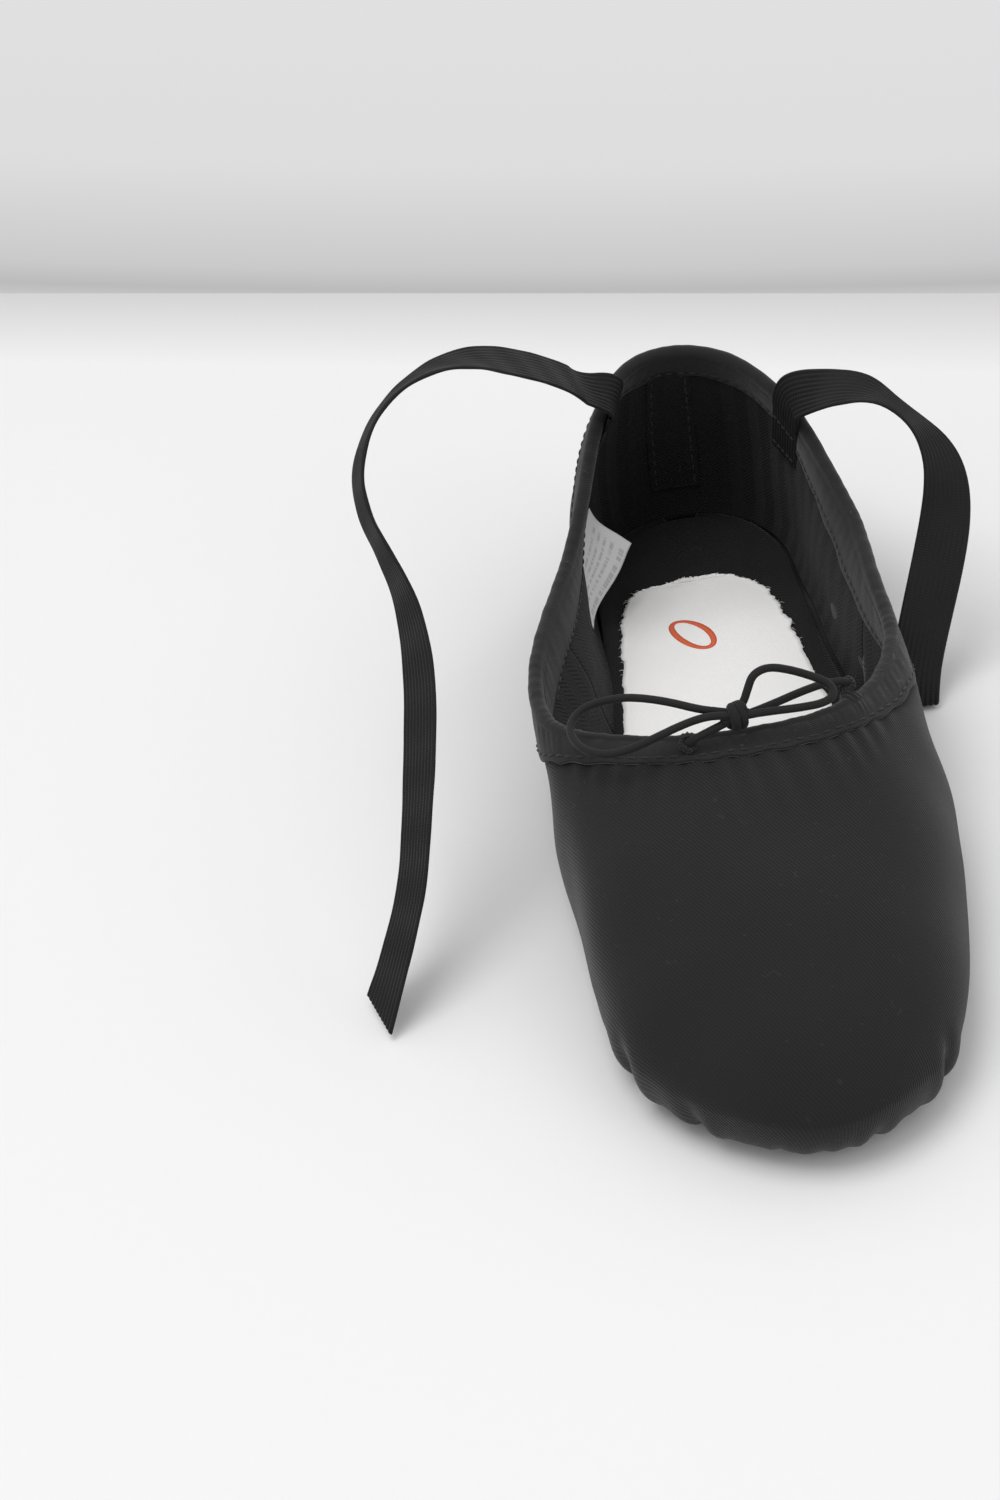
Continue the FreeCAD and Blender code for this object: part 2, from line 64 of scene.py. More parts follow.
Z_UNDER, ARCH_RISE, ROLL_IN, TURN_IN = 1.6, 4.6, 7.0, 9.0
T_CANVAS, T_LINING, T_BINDING, R_CHANNEL = 0.9, 0.5, 0.6, 1.1
MID = -(T_CANVAS + 0.1 + T_LINING) / 2
R_CORD = 0.85
BINDING_DEEP = 8.6
SEAM_K = 6.95               # side seams


def full(v):
    return np.array(list(v) + list(v)[11:0:-1], float)


def coef(p):
    n = len(p)
    A = np.eye(n) * 4 / 6 + np.roll(np.eye(n), 1, 1) / 6 + np.roll(np.eye(n), -1, 1) / 6
    return np.linalg.solve(A, np.asarray(p, float))


def bev(c, k):
    x = np.mod(np.asarray(k, float), 24.0)
    i = np.floor(x).astype(int) % 24
    f = x - np.floor(x)
    return (c[(i - 1) % 24] * (1 - f) ** 3 + c[i] * (3 * f ** 3 - 6 * f * f + 4)
            + c[(i + 1) % 24] * (-3 * f ** 3 + 3 * f * f + 3 * f + 1) + c[(i + 2) % 24] * f ** 3) / 6.0


def sides(half, mid):
    return [mid[k] + half[k] for k in range(13)] + [mid[k] - half[k] for k in range(11, 0, -1)]


OX, OY = coef(sides(HALF_W_OUT, C_OUT)), coef(full(Y_OUT))
TX, TY, TZ = coef(sides(HALF_W_TOP, C_TOP)), coef(full(Y_TOP)), coef(full(Z_TOP))
ZW, DM, TF = coef(full(Z_WIDE)), coef(full(DOME)), coef(full(TOE_FULL))


def smooth(x):
    x = np.clip(x, 0.0, 1.0)
    return x * x * (3 - 2 * x)


def bump_y(y):
    return smooth((y + 6) / 24.0) * smooth((80 - y) / 30.0)


def gauss(x, w):
    return np.exp(-(x / w) ** 2)


def kd(k, c):
    """signed distance between stations round the loop"""
    return (np.asarray(k, float) - c + 12) % 24 - 12


def surf(k, s):
    k, s = np.broadcast_arrays(np.asarray(k, float), np.asarray(s, float))
    ox, oy = bev(OX, k), bev(OY, k)
    dx, dy = bev(OX, k + .02) - bev(OX, k - .02), bev(OY, k + .02) - bev(OY, k - .02)
    d = np.hypot(dx, dy)
    nx, ny = -dy / d, dx / d
    zm, zu = bev(ZW, k), Z_UNDER + ARCH_RISE * bump_y(oy)
    b = np.pi / 2 * np.clip((0.35 - s) / 0.25, 0, 1)
    inset = ROLL_IN * (1 - np.cos(b)) + TURN_IN * np.clip(0.10 - s, 0, 1) / 0.10
    low = np.stack([ox + nx * inset, oy + ny * inset, zm - (zm - zu) * np.sin(b)], -1)
    am, toe = np.radians(bev(DM, k)), bev(TF, k)
    a = np.clip((s - 0.35) / 0.65, 0, 1.2) * am
    I, E = (1 - np.cos(a)) / (1 - np.cos(am)), np.sin(a) / np.sin(am)
    U = E * (1 - .45 * toe) + .45 * toe * I ** 0.8
    up = np.stack([ox + (bev(TX, k) - ox) * I, oy + (bev(TY, k) - oy) * I, zm + (bev(TZ, k) - zm) * U], -1)
    return np.where((s <= 0.35)[..., None], low, up)


def unit(v):
    return v / np.maximum(np.linalg.norm(v, axis=-1, keepdims=True), 1e-12)


def normal(k, s):
    k, s = np.broadcast_arrays(np.asarray(k, float), np.asarray(s, float))
    e = 0.004
    a = surf(k + .03, s) - surf(k - .03, s)
    c = surf(k, np.minimum(s + e, 1.0)) - surf(k, np.maximum(s - e, 0.0))
    return unit(np.cross(a, c))


SG = np.linspace(0.35, 1, 81)


TL_K = np.arange(0, 24, .0125)
TL_P = surf(TL_K, np.ones_like(TL_K))


def wall_gap(k):
    """distance from the topline at every SG level, one row per station"""
    P = surf(k[:, None], SG[None, ::-1])
    out = np.zeros(P.shape[:2])
    for i, kk in enumerate(k):
        idx = (int(round(kk / .0125)) + np.arange(-240, 241)) % len(TL_K)
        d = np.sqrt(((P[i][:, None] - TL_P[idx][None]) ** 2).sum(-1)).min(1)
        d[0] = 0
        out[i] = np.maximum.accumulate(d + np.arange(len(d)) * 1e-6)
    return out


def s_down(k, w):
    """s at distance w from the topline; k is 1-D, w scalar or 1-D: result (len k, len w)"""
    k = np.atleast_1d(np.asarray(k, float))
    w = np.atleast_1d(np.asarray(w, float))
    L = wall_gap(k)
    return np.array([np.interp(w, L[i], SG[::-1]) for i in range(len(k))])


def off(k, s, d):
    return surf(k, s) + normal(k, s) * np.asarray(d)[..., None]


def M(p):
    """drawing millimetres to row metres"""
    return (np.asarray(p, float) + np.array([SX, SY, 0.0])) / 1000.0


# ------------------------------------------------------------------ mesh helpers
def make_obj(name, verts, faces, uv=None, smooth_shade=True, fix=True):
    me = bpy.data.meshes.new(name)
    me.from_pydata([tuple(v) for v in np.asarray(verts, float)], [], [tuple(int(i) for i in f) for f in faces])
    me.update()
    if uv is not None:
        lay = me.uv_layers.new(name="UVMap")
        idx = np.empty(len(me.loops), np.int64)
        me.loops.foreach_get("vertex_index", idx)
        lay.data.foreach_set("uv", np.asarray(uv, np.float32)[idx].ravel())
    if fix:
        bm = bmesh.new()
        bm.from_mesh(me)
        bmesh.ops.recalc_face_normals(bm, faces=bm.faces)
        bm.to_mesh(me)
        bm.free()
    me.polygons.foreach_set("use_smooth", [smooth_shade] * len(me.polygons))
    o = bpy.data.objects.new(name, me)
    scene.collection.objects.link(o)
    return o


def grid_faces(n, m, base=0, flip=False, close=False):
    out = []
    for i in range(n if close else n - 1):
        i2 = (i + 1) % n
        for j in range(m - 1):
            q = (base + i * m + j, base + i2 * m + j, base + i2 * m + j + 1, base + i * m + j + 1)
            out.append(q[::-1] if flip else q)
    return out


def thick(name, A, B, uv=None, close=False):
    """closed sheet between grids A (outside) and B (inside), in row metres; close joins the first and last rows"""
    n, m = A.shape[:2]
    V_ = np.concatenate([A.reshape(-1, 3), B.reshape(-1, 3)])
    F = grid_faces(n, m, 0, False, close) + grid_faces(n, m, n * m, True, close)
    o = n * m
    for i in range(n if close else n - 1):
        i2 = (i + 1) % n
        F.append((i * m, o + i * m, o + i2 * m, i2 * m))
        F.append((i * m + m - 1, i2 * m + m - 1, o + i2 * m + m - 1, o + i * m + m - 1))
    if not close:
        for j in range(m - 1):
            F.append((j, j + 1, o + j + 1, o + j))
            r = (n - 1) * m
            F.append((r + j, o + r + j, o + r + j + 1, r + j + 1))
    if uv is not None:
        uv = np.concatenate([uv.reshape(-1, 2)] * 2)
    return make_obj(name, V_, F, uv)


def arc_uv(P, k0=0.0):
    """UV in metres from arc lengths along both grid directions"""
    mid = P.shape[1] // 2
    u = np.concatenate([[0], np.cumsum(np.linalg.norm(np.diff(P[:, mid], axis=0), axis=1))])
    v = np.concatenate([np.zeros((P.shape[0], 1)), np.cumsum(np.linalg.norm(np.diff(P, axis=1), axis=2), 1)], 1)
    return np.stack([np.repeat(u[:, None], P.shape[1], 1), v], -1)


def frames_along(P):
    """tangent, side, up along a polyline without twist"""
    T = unit(np.gradient(P, axis=0))
    n = np.cross(T[0], [0, 0, 1.0])
    if np.linalg.norm(n) < 1e-3:
        n = np.cross(T[0], [1.0, 0, 0])
    n = n / np.linalg.norm(n)
    N = [n]
    for i in range(1, len(P)):
        v = N[-1] - T[i] * np.dot(N[-1], T[i])
        N.append(v / np.linalg.norm(v))
    N = np.array(N)
    return T, N, np.cross(T, N)


def tube_mesh(name, P, r, seg=14, caps=True):
    """round tube along points P (row metres); r scalar or per point; rounded ends"""
    P = np.asarray(P, float)
    r = np.full(len(P), r, float) if np.isscalar(r) else np.asarray(r, float)
    T, N, B = frames_along(P)
    if caps:
        e = [(-0.99, .12), (-0.85, .53), (-.5, .866)]
        a = np.array([P[0] + T[0] * r[0] * (z) for z, _ in e])
        b = np.array([P[-1] - T[-1] * r[-1] * (z) for z, _ in e[::-1]])
        P = np.concatenate([a, P, b])
        r = np.concatenate([[r[0] * q for _, q in e], r, [r[-1] * q for _, q in e[::-1]]])
        T = np.concatenate([[T[0]] * 3, T, [T[-1]] * 3])
        N = np.concatenate([[N[0]] * 3, N, [N[-1]] * 3])
        B = np.concatenate([[B[0]] * 3, B, [B[-1]] * 3])
    a = np.linspace(0, 2 * np.pi, seg, endpoint=False)
    V_ = P[:, None] + r[:, None, None] * (np.cos(a)[None, :, None] * N[:, None] + np.sin(a)[None, :, None] * B[:, None])
    n = len(P)
    F = []
    for i in range(n - 1):
        for j in range(seg):
            j2 = (j + 1) % seg
            F.append((i * seg + j, i * seg + j2, (i + 1) * seg + j2, (i + 1) * seg + j))
    F.append(tuple(range(seg))[::-1])
    F.append(tuple((n - 1) * seg + j for j in range(seg)))
    L = np.concatenate([[0], np.cumsum(np.linalg.norm(np.diff(P, axis=0), axis=1))])
    uv = np.stack([np.repeat(L[:, None], seg, 1), np.repeat((np.abs(a - np.pi) / np.pi * 0.5 * 2 * np.pi * r.max())[None, :], n, 0)], -1)
    return make_obj(name, V_.reshape(-1, 3), F, uv.reshape(-1, 2))


def nurbs_points(pts, res=10):
    """points along the order-3 NURBS line whose control points are the route's own"""
    cu = bpy.data.curves.new("route", "CURVE")
    cu.dimensions = "3D"
    sp = cu.splines.new("NURBS")
    sp.points.add(len(pts) - 1)
    for q, p in zip(sp.points, pts):
        q.co = (p[0], p[1], p[2], 1.0)
    sp.order_u = 3
    sp.use_endpoint_u = True
    sp.resolution_u = res
    o = bpy.data.objects.new("route", cu)
    scene.collection.objects.link(o)
    me = bpy.data.meshes.new_from_object(o)
    out = np.array([v.co[:] for v in me.vertices])
    bpy.data.meshes.remove(me)
    bpy.data.objects.remove(o)
    bpy.data.curves.remove(cu)
    return out


def stitches(name, P, Nn, pitch=3.0, length=2.1, r=0.26, sink=0.0, skip=None):
    """row of thread stitches along P with surface normals Nn, all in row metres (sizes in mm)"""
    P, Nn = np.asarray(P), unit(np.asarray(Nn))
    L = np.concatenate([[0], np.cumsum(np.linalg.norm(np.diff(P, axis=0), axis=1))])
    pitch, length, r = pitch / 1000, length / 1000, r / 1000
    V_, F = [], []
    ring = 8
    at = lambda x: (np.array([np.interp(x, L, P[:, i]) for i in range(3)]), unit(np.array([np.interp(x, L, Nn[:, i]) for i in range(3)])))
    x = pitch * .5
    while x < L[-1] - length * .5:
        jit = rng.uniform(-.06, .06) * pitch
        tilt = rng.uniform(-.05, .05)
        stations = np.linspace(-.5, .5, 7)
        base = len(V_)
        for q in stations:
            c, n = at(min(max(x + jit + q * length, 0), L[-1]))
            c2, _ = at(min(max(x + jit + q * length + 1e-4, 0), L[-1]))
            t = unit(c2 - c) if np.linalg.norm(c2 - c) > 1e-9 else np.array([1.0, 0, 0])
            b = np.cross(n, t)
            rr = r * math.sqrt(max(0.02, 1 - (2 * q) ** 2 * .97))
            h = n * (r * (.35 * (1 - (2 * q) ** 2) - .25) - sink / 1000) + b * tilt * q * length
            for a in range(ring):
                an = 2 * math.pi * a / ring
                V_.append(c + h + b * math.cos(an) * rr + n * math.sin(an) * rr * .8)
        for i in range(6):
            for a in range(ring):
                a2 = (a + 1) % ring
                F.append((base + i * ring + a, base + i * ring + a2, base + (i + 1) * ring + a2, base + (i + 1) * ring + a))
        F.append(tuple(base + a for a in range(ring))[::-1])
        F.append(tuple(base + 6 * ring + a for a in range(ring)))
        x += pitch
    return make_obj(name, V_, F, np.zeros((len(V_), 2)) + np.arange(len(V_))[:, None] * 1e-4)


# ------------------------------------------------------------------ materials
class Nodes:
    def __init__(self, name):
        self.m = bpy.data.materials.new(name)
        self.m.use_nodes = True
        self.t = self.m.node_tree
        self.t.nodes.clear()
        self.out = self.n("ShaderNodeOutputMaterial")
        self.b = self.n("ShaderNodeBsdfPrincipled")
        self.t.links.new(self.b.outputs[0], self.out.inputs[0])
        self.uv = self.n("ShaderNodeTexCoord")
        self.sep = self.n("ShaderNodeSeparateXYZ")
        self.t.links.new(self.uv.outputs["UV"], self.sep.inputs[0])
        self.U, self.V = self.sep.outputs[0], self.sep.outputs[1]

    def n(self, kind, **kw):
        x = self.t.nodes.new(kind)
        for a, b in kw.items():
            setattr(x, a, b)
        return x

    def put(self, sock, v):
        if isinstance(v, bpy.types.NodeSocket):
            self.t.links.new(v, sock)
        else:
            sock.default_value = v

    def math(self, op, a, b=0.0, c=0.0, clamp=False):
        x = self.n("ShaderNodeMath", operation=op, use_clamp=clamp)
        self.put(x.inputs[0], a)
        self.put(x.inputs[1], b)
        self.put(x.inputs[2], c)
        return x.outputs[0]

    def noise(self, scale, detail=3.0, rough=0.55, coord="Object", dist=0.0):
        x = self.n("ShaderNodeTexNoise")
        x.inputs["Scale"].default_value = scale
        x.inputs["Detail"].default_value = detail
        x.inputs["Roughness"].default_value = rough
        x.inputs["Distortion"].default_value = dist
        self.t.links.new(self.uv.outputs[coord], x.inputs["Vector"])
        return x.outputs[0]

    def ramp(self, fac, stops):
        x = self.n("ShaderNodeValToRGB")
        el = x.color_ramp.elements
        while len(el) < len(stops):
            el.new(0.5)
        for e, (p, c) in zip(el, stops):
            e.position = p
            e.color = (*c, 1.0) if len(c) == 3 else c
        self.put(x.inputs[0], fac)
        return x.outputs[0]

    def bump(self, h, dist, strength=1.0, after=None):
        x = self.n("ShaderNodeBump")
        x.inputs["Strength"].default_value = strength
        x.inputs["Distance"].default_value = dist
        self.put(x.inputs["Height"], h)
        if after is not None:
            self.put(x.inputs["Normal"], after)
        return x.outputs[0]

    def mixc(self, fac, a, b, mode="MIX"):
        x = self.n("ShaderNodeMix", data_type="RGBA", blend_type=mode)
        self.put(x.inputs[0], fac)
        for s_, v in ((x.inputs[6], a), (x.inputs[7], b)):
            self.put(s_, v if isinstance(v, bpy.types.NodeSocket) else (*v, 1.0))
        return x.outputs[2]

    def set(self, **kw):
        for a, v in kw.items():
            self.put(self.b.inputs[a.replace("_", " ")], v)


def wave(N_, x, period):
    """0..1 sine ridge with that period in metres"""
    return N_.math("MULTIPLY_ADD", N_.math("SINE", N_.math("MULTIPLY", x, 2 * math.pi / period)), 0.5, 0.5)


def cloth(name, lo, hi, weave, period, depth, sheen=0.35, rough=0.92, fuzz=0.5, lint=0.0, tint=(1, 1, 1)):
    N_ = Nodes(name)
    n1 = N_.noise(38.0, 4.0)
    n2 = N_.noise(900.0, 2.0, 0.6)
    U, V_ = N_.U, N_.V
    if weave == "twill":
        diag = N_.math("ADD", U, N_.math("MULTIPLY", V_, 0.62))
        h = N_.math("MULTIPLY", wave(N_, diag, period), N_.math("MULTIPLY_ADD", wave(N_, N_.math("SUBTRACT", V_, N_.math("MULTIPLY", U, 0.5)), period * .55), .45, .55))
    elif weave == "herringbone":
        zig = N_.math("PINGPONG", U, 0.0042)
        line = N_.math("ADD", V_, N_.math("MULTIPLY", zig, 0.75))
        h = N_.math("MULTIPLY", wave(N_, line, period), N_.math("MULTIPLY_ADD", wave(N_, U, period * .6), .4, .6))
    elif weave == "plain":
        a, b = wave(N_, U, period), wave(N_, V_, period)
        h = N_.math("ABSOLUTE", N_.math("SUBTRACT", a, b))
    elif weave == "ladder":
        h = N_.math("MULTIPLY", wave(N_, U, period), N_.math("MULTIPLY_ADD", wave(N_, V_, period * 1.6), .3, .7))
    elif weave == "braid":
        a = wave(N_, N_.math("ADD", U, V_), period)
        b = wave(N_, N_.math("SUBTRACT", U, V_), period)
        h = N_.math("MAXIMUM", a, b)
    else:
        h = N_.noise(2200.0, 3.0, 0.7)
    hh = N_.math("ADD", N_.math("MULTIPLY", h, 1 - fuzz * .5), N_.math("MULTIPLY", n2, fuzz * .8))
    col = N_.mixc(N_.math("MULTIPLY_ADD", n1, .55, N_.math("MULTIPLY", h, .45), clamp=True), lo, hi)
    if lint:
        sp = N_.noise(420.0, 1.0, 0.4, dist=1.2)
        col = N_.mixc(N_.math("MULTIPLY", N_.math("GREATER_THAN", sp, 0.735), lint), col, (0.30, 0.30, 0.30))
    N_.set(Base_Color=col, Normal=N_.bump(hh, depth, 0.9))
    N_.b.inputs["Roughness"].default_value = rough
    N_.b.inputs["Sheen Weight"].default_value = sheen
    N_.b.inputs["Sheen Roughness"].default_value = 0.45
    N_.b.inputs["Sheen Tint"].default_value = (*tint, 1.0)
    N_.b.inputs["Specular IOR Level"].default_value = 0.22
    return N_.m


MAT = {
    "canvas": cloth("canvas_twill", (0.0085, 0.0085, 0.0087), (0.0165, 0.0165, 0.0167), "twill", 0.00085, 0.00012, 0.16, 0.94, 0.55, 0.02),
    "lining": cloth("lining_herringbone", (0.0035, 0.0035, 0.0035), (0.0155, 0.0155, 0.0155), "herringbone", 0.00095, 0.0002, 0.06, 0.9, 0.35, 0.03),
    "binding": cloth("binding_tape", (0.0105, 0.0105, 0.0104), (0.022, 0.022, 0.0217), "twill", 0.0006, 0.0001, 0.20, 0.96, 0.9, 0.08),
    "elastic": cloth("ribbed_elastic", (0.0030, 0.0029, 0.0027), (0.0085, 0.0083, 0.0078), "ladder", 0.00062, 0.00007, 0.03, 0.62, 0.25),
    "cord": cloth("braided_cord", (0.0055, 0.0055, 0.0055), (0.017, 0.017, 0.017), "braid", 0.00075, 0.00009, 0.08, 0.75, 0.3),
    "sock": cloth("white_sock", (0.88, 0.875, 0.86), (0.95, 0.945, 0.935), "plain", 0.0009, 0.00006, 0.2, 0.88, 0.6, 0.0),
    "suede": cloth("suede_pad", (0.010, 0.0097, 0.0094), (0.030, 0.029, 0.028), "nap", 0.001, 0.00022, 0.6, 0.97, 0.9, 0.0),
    "thread": cloth("black_thread", (0.010, 0.010, 0.010), (0.030, 0.030, 0.030), "ladder", 0.0004, 0.00003, 0.15, 0.55, 0.2),
    "raw": cloth("white_thread", (0.74, 0.73, 0.71), (0.88, 0.87, 0.85), "ladder", 0.0005, 0.00003, 0.2, 0.9, 0.3),
    "foam": cloth("foam_pad", (0.50, 0.50, 0.48), (0.66, 0.66, 0.64), "nap", 0.001, 0.0002, 0.1, 0.95, 0.9),
    "board": cloth("fibre_board", (0.20, 0.15, 0.10), (0.34, 0.27, 0.19), "nap", 0.001, 0.0001, 0.0, 0.85, 0.9),
}


def label_material():
    N_ = Nodes("satin_label")
    U, V_ = N_.U, N_.V
    rows = N_.math("GREATER_THAN", wave(N_, V_, 0.0026), 0.62)
    dash = N_.n("ShaderNodeTexNoise")
    dash.inputs["Scale"].default_value = 1.0
    dash.inputs["Detail"].default_value = 2.0
    cx = N_.n("ShaderNodeCombineXYZ")
    N_.put(cx.inputs[0], N_.math("MULTIPLY", U, 1500.0))
    N_.put(cx.inputs[1], N_.math("MULTIPLY", N_.math("FLOOR", N_.math("DIVIDE", V_, 0.0026)), 7.3))
    N_.t.links.new(cx.outputs[0], dash.inputs["Vector"])
    inx = N_.math("MULTIPLY", N_.math("GREATER_THAN", U, 0.0035), N_.math("LESS_THAN", U, 0.0265))
    iny = N_.math("MULTIPLY", N_.math("GREATER_THAN", V_, 0.0022), N_.math("LESS_THAN", V_, 0.0155))
    ink = N_.math("MULTIPLY", N_.math("MULTIPLY", rows, N_.math("GREATER_THAN", dash.outputs[0], 0.47)), N_.math("MULTIPLY", inx, iny))
    sat = wave(N_, V_, 0.0003)
    col = N_.mixc(N_.math("MULTIPLY", ink, .35), N_.mixc(sat, (0.58, 0.58, 0.585), (0.70, 0.70, 0.70)), (0.10, 0.10, 0.11))
    N_.set(Base_Color=col, Normal=N_.bump(sat, 0.00002, 0.5))
    N_.b.inputs["Roughness"].default_value = 0.42
    N_.b.inputs["Sheen Weight"].default_value = 0.2
    return N_.m


def ink_material():
    N_ = Nodes("orange_print")
    g = N_.noise(1600.0, 3.0, 0.7)
    N_.set(Base_Color=N_.mixc(g, (0.62, 0.085, 0.03), (0.80, 0.17, 0.07)), Normal=N_.bump(g, 0.00002, 0.6))
    N_.b.inputs["Roughness"].default_value = 0.8
    return N_.m


MAT["label"], MAT["ink"] = label_material(), ink_material()


def paint(o, key):
    o.data.materials.clear()
    o.data.materials.append(MAT[key])
    return o


def bend(o):
    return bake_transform(o)


# ------------------------------------------------------------------ camera first
CAMR = np.array([[0.98869175, -0.05293338, -0.14030920], [-0.14549979, -0.56514579, -0.81205914], [-0.03631012, 0.82329114, -0.56645678]])
CAMC = M([-31.2453, -454.8257, 332.977])
cd = bpy.data.cameras.new("view_camera")
cd.sensor_fit = "AUTO"
cd.sensor_width = 36.0
cd.lens = 2514.932 / 1500.0 * 36.0
cd.clip_start, cd.clip_end = 0.01, 50
cam = bpy.data.objects.new("view_camera", cd)
r_, d_, f_ = CAMR
cam.matrix_world = Matrix(((r_[0], -d_[0], -f_[0], CAMC[0]), (r_[1], -d_[1], -f_[1], CAMC[1]), (r_[2], -d_[2], -f_[2], CAMC[2]), (0, 0, 0, 1)))
scene.collection.objects.link(cam)
scene.camera = cam

# ------------------------------------------------------------------ canvas upper
PLEATS = [(1.62, .10, 2.8, .48), (21.72, .11, 2.6, .48), (22.62, .09, 1.8, .40), (0.55, .09, .9, .33), (2.45, .09, .9, .34), (20.9, .10, 1.0, .36), (23.45, .08, .8, .32)]


def wrinkle(k, s, P):
    """normal displacement of the canvas in mm: gathers into the front pad, soft slack folds, drawstring puckers"""
    k, s = np.broadcast_arrays(k, s)
    toe = smooth((5.2 - np.abs(kd(k, 0))) / 1.5)
    heel = smooth((2.4 - np.abs(kd(k, 12))) / 1.0)
    d = np.zeros(k.shape)
    low = smooth((0.33 - s) / 0.2) * (1 - .75 * smooth((.09 - s) / .09))
    d += toe * low * (0.24 * np.sin(2 * np.pi * (kd(k, 0) / 0.37 + .25 * np.sin(kd(k, 0) * 1.7)))) + heel * low * .25 * np.sin(2 * np.pi * kd(k, 12) / .42)
    for c, w, a, top in PLEATS:
        run = smooth((top - s) / (top - .12)) * (1 - .6 * smooth((.07 - s) / .07))
        x = kd(k, c + .10 * (s - .2) * np.sign(kd(c, 0)))
        d += run * (-a * gauss(x, w) + .55 * a * (gauss(x - 2.1 * w, 1.5 * w) + gauss(x + 2.1 * w, 1.5 * w)))
    x, y, z = P[..., 0], P[..., 1], P[..., 2]
    up = smooth((s - .3) / .15) * smooth((1.0 - s) / .08)
    d += up * toe * (.34 * np.sin(x / 9.0 + y / 17.0 + 1.0) * np.sin(y / 13.0 - x / 31.0) + .22 * np.sin(x / 5.3 - y / 7.9 + 2.0) * np.sin(x / 14.0 + y / 11.0))
    side = 1 - toe
    d += side * up * (.40 * np.sin(y / 8.5 + z / 6.0) * np.sin(z / 7.5 - y / 19.0 + .7) + .25 * np.sin(y / 4.7 - z / 9.0))
    # gathers under the binding where the cord pulls it
    d += .30 * smooth((s - .86) / .1) * np.sin(2 * np.pi * kd(k, 0) / .52 + .9 * np.sin(kd(k, 0) * 2.3)) * smooth((9.0 - np.abs(kd(k, 0))) / 3.0)
    # arch canvas is drawn in between the pads
    arch = bump_y(y)
    d += -1.1 * arch * gauss(s - .40, .14) + .35 * arch * np.sin(y / 3.6) * gauss(s - .3, .16)
    return d


def vamp_uv(P):
    zc = np.interp(P[..., 1], [-123, -115, -100, -80, -60, -40, -30, 20], [12, 20, 25.5, 30, 33.3, 36, 37, 37])
    drop = np.maximum(0, zc - P[..., 2])
    u = P[..., 0] + P[..., 0] / np.sqrt(P[..., 0] ** 2 + 200) * .85 * drop
    v = P[..., 1] - .5 * (37 - zc) - .5 * drop * smooth((-95 - P[..., 1]) / 20)
    return np.stack([u, v], -1) / 1000.0


def canvas_panel(name, k0, k1, nk, vamp=False):
    k = np.linspace(k0, k1, nk)
    lo = np.concatenate([np.linspace(0, .1, 6)[:-1], np.linspace(.1, .35, 18)[:-1]])
    top = s_down(k, 3.6)[:, 0]
    q = np.linspace(0, 1, 46)
    s = np.concatenate([np.repeat(lo[None], nk, 0), .35 + (top[:, None] - .35) * q[None]], 1)
    K = np.repeat(k[:, None], s.shape[1], 1)
    P0 = surf(K, s)
    Nn = normal(K, s)
    D = wrinkle(K, s, P0)
    # seam allowance: the two edges roll inwards
    e = np.minimum(np.abs(K - k0), np.abs(K - k1)) * 24.0
    D -= .55 * np.exp(-(e / .7) ** 2)
    D += .16 * gauss(e - 2.6, 1.2)
    A, B = P0 + Nn * D[..., None], P0 + Nn * (D - T_CANVAS)[..., None]
    A[..., 2] = np.maximum(A[..., 2], 1.56)
    B[..., 2] = np.maximum(B[..., 2], A[..., 2] * 0 + 1.9)
    uv = vamp_uv(P0) if vamp else arc_uv(P0 / 1000.0)
    return paint(thick(name, M(A), M(B), uv), "canvas")


vamp = canvas_panel("vamp", -SEAM_K, SEAM_K, 420, True)
q_lat = canvas_panel("quarter_lateral", SEAM_K + .004, 11.9995, 190)
q_med = canvas_panel("quarter_medial", 12.0005, 24 - SEAM_K - .004, 190)
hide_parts("vamp_canvas")
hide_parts("quarter_lateral_canvas", "arch_lateral_canvas")
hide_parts("quarter_medial_canvas", "arch_medial_canvas")
for o in (vamp, q_lat, q_med):
    bend(o)

# ------------------------------------------------------------------ lining


def slack(k, s):
    """how far the lining stands in from the canvas, mm: it bridges loosely on the inner side of the arch"""
    k, s = np.broadcast_arrays(k, s)
    med = gauss(kd(k, 18.6), 2.3)
    lat = gauss(kd(k, 5.4), 1.6)
    prof = smooth((.93 - s) / .45) * (.55 + .45 * smooth((.5 - s) / .3))
    P = surf(k, s)
    soft = .35 * np.sin(P[..., 1] / 6.0 + P[..., 2] / 5.0) * smooth((.9 - s) / .2)
    return prof * (8.4 * med + 1.6 * lat) + soft * .6 + .35


def lining_panel(name, k0, k1, nk):
    k = np.linspace(k0, k1, nk)
    top = s_down(k, 5.0)[:, 0]
    q = np.linspace(0, 1, 44)
    s = .225 + (top[:, None] - .225) * q[None]
    K = np.repeat(k[:, None], s.shape[1], 1)
    P0, Nn = surf(K, s), normal(K, s)
    sl = slack(K, s)
    fade = smooth((K * 0 + 1 - q[None]) / .12)
    d = -(T_CANVAS + .25) - sl * fade
    flat = Nn * [1, 1, 0]
    A = P0 + flat * d[..., None] + Nn * [0, 0, 1] * (-(T_CANVAS + .25))
    B = A - unit(flat + Nn * [0, 0, .3]) * T_LINING
    return paint(thick(name, M(A), M(B), arc_uv(P0 / 1000.0)), "lining")


l_v = lining_panel("lining_vamp", -SEAM_K, SEAM_K, 260)
l_l = lining_panel("lining_lateral", SEAM_K + .002, 11.9995, 120)
l_m = lining_panel("lining_medial", 12.0005, 24 - SEAM_K - .002, 120)
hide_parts("vamp_lining")
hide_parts("quarter_lateral_lining", "arch_lateral_lining")
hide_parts("quarter_medial_lining", "arch_medial_lining")
for o in (l_v, l_l, l_m):
    bend(o)

# ------------------------------------------------------------------ binding with its drawstring channel
EXIT_L, EXIT_M = 3.05, -1.02


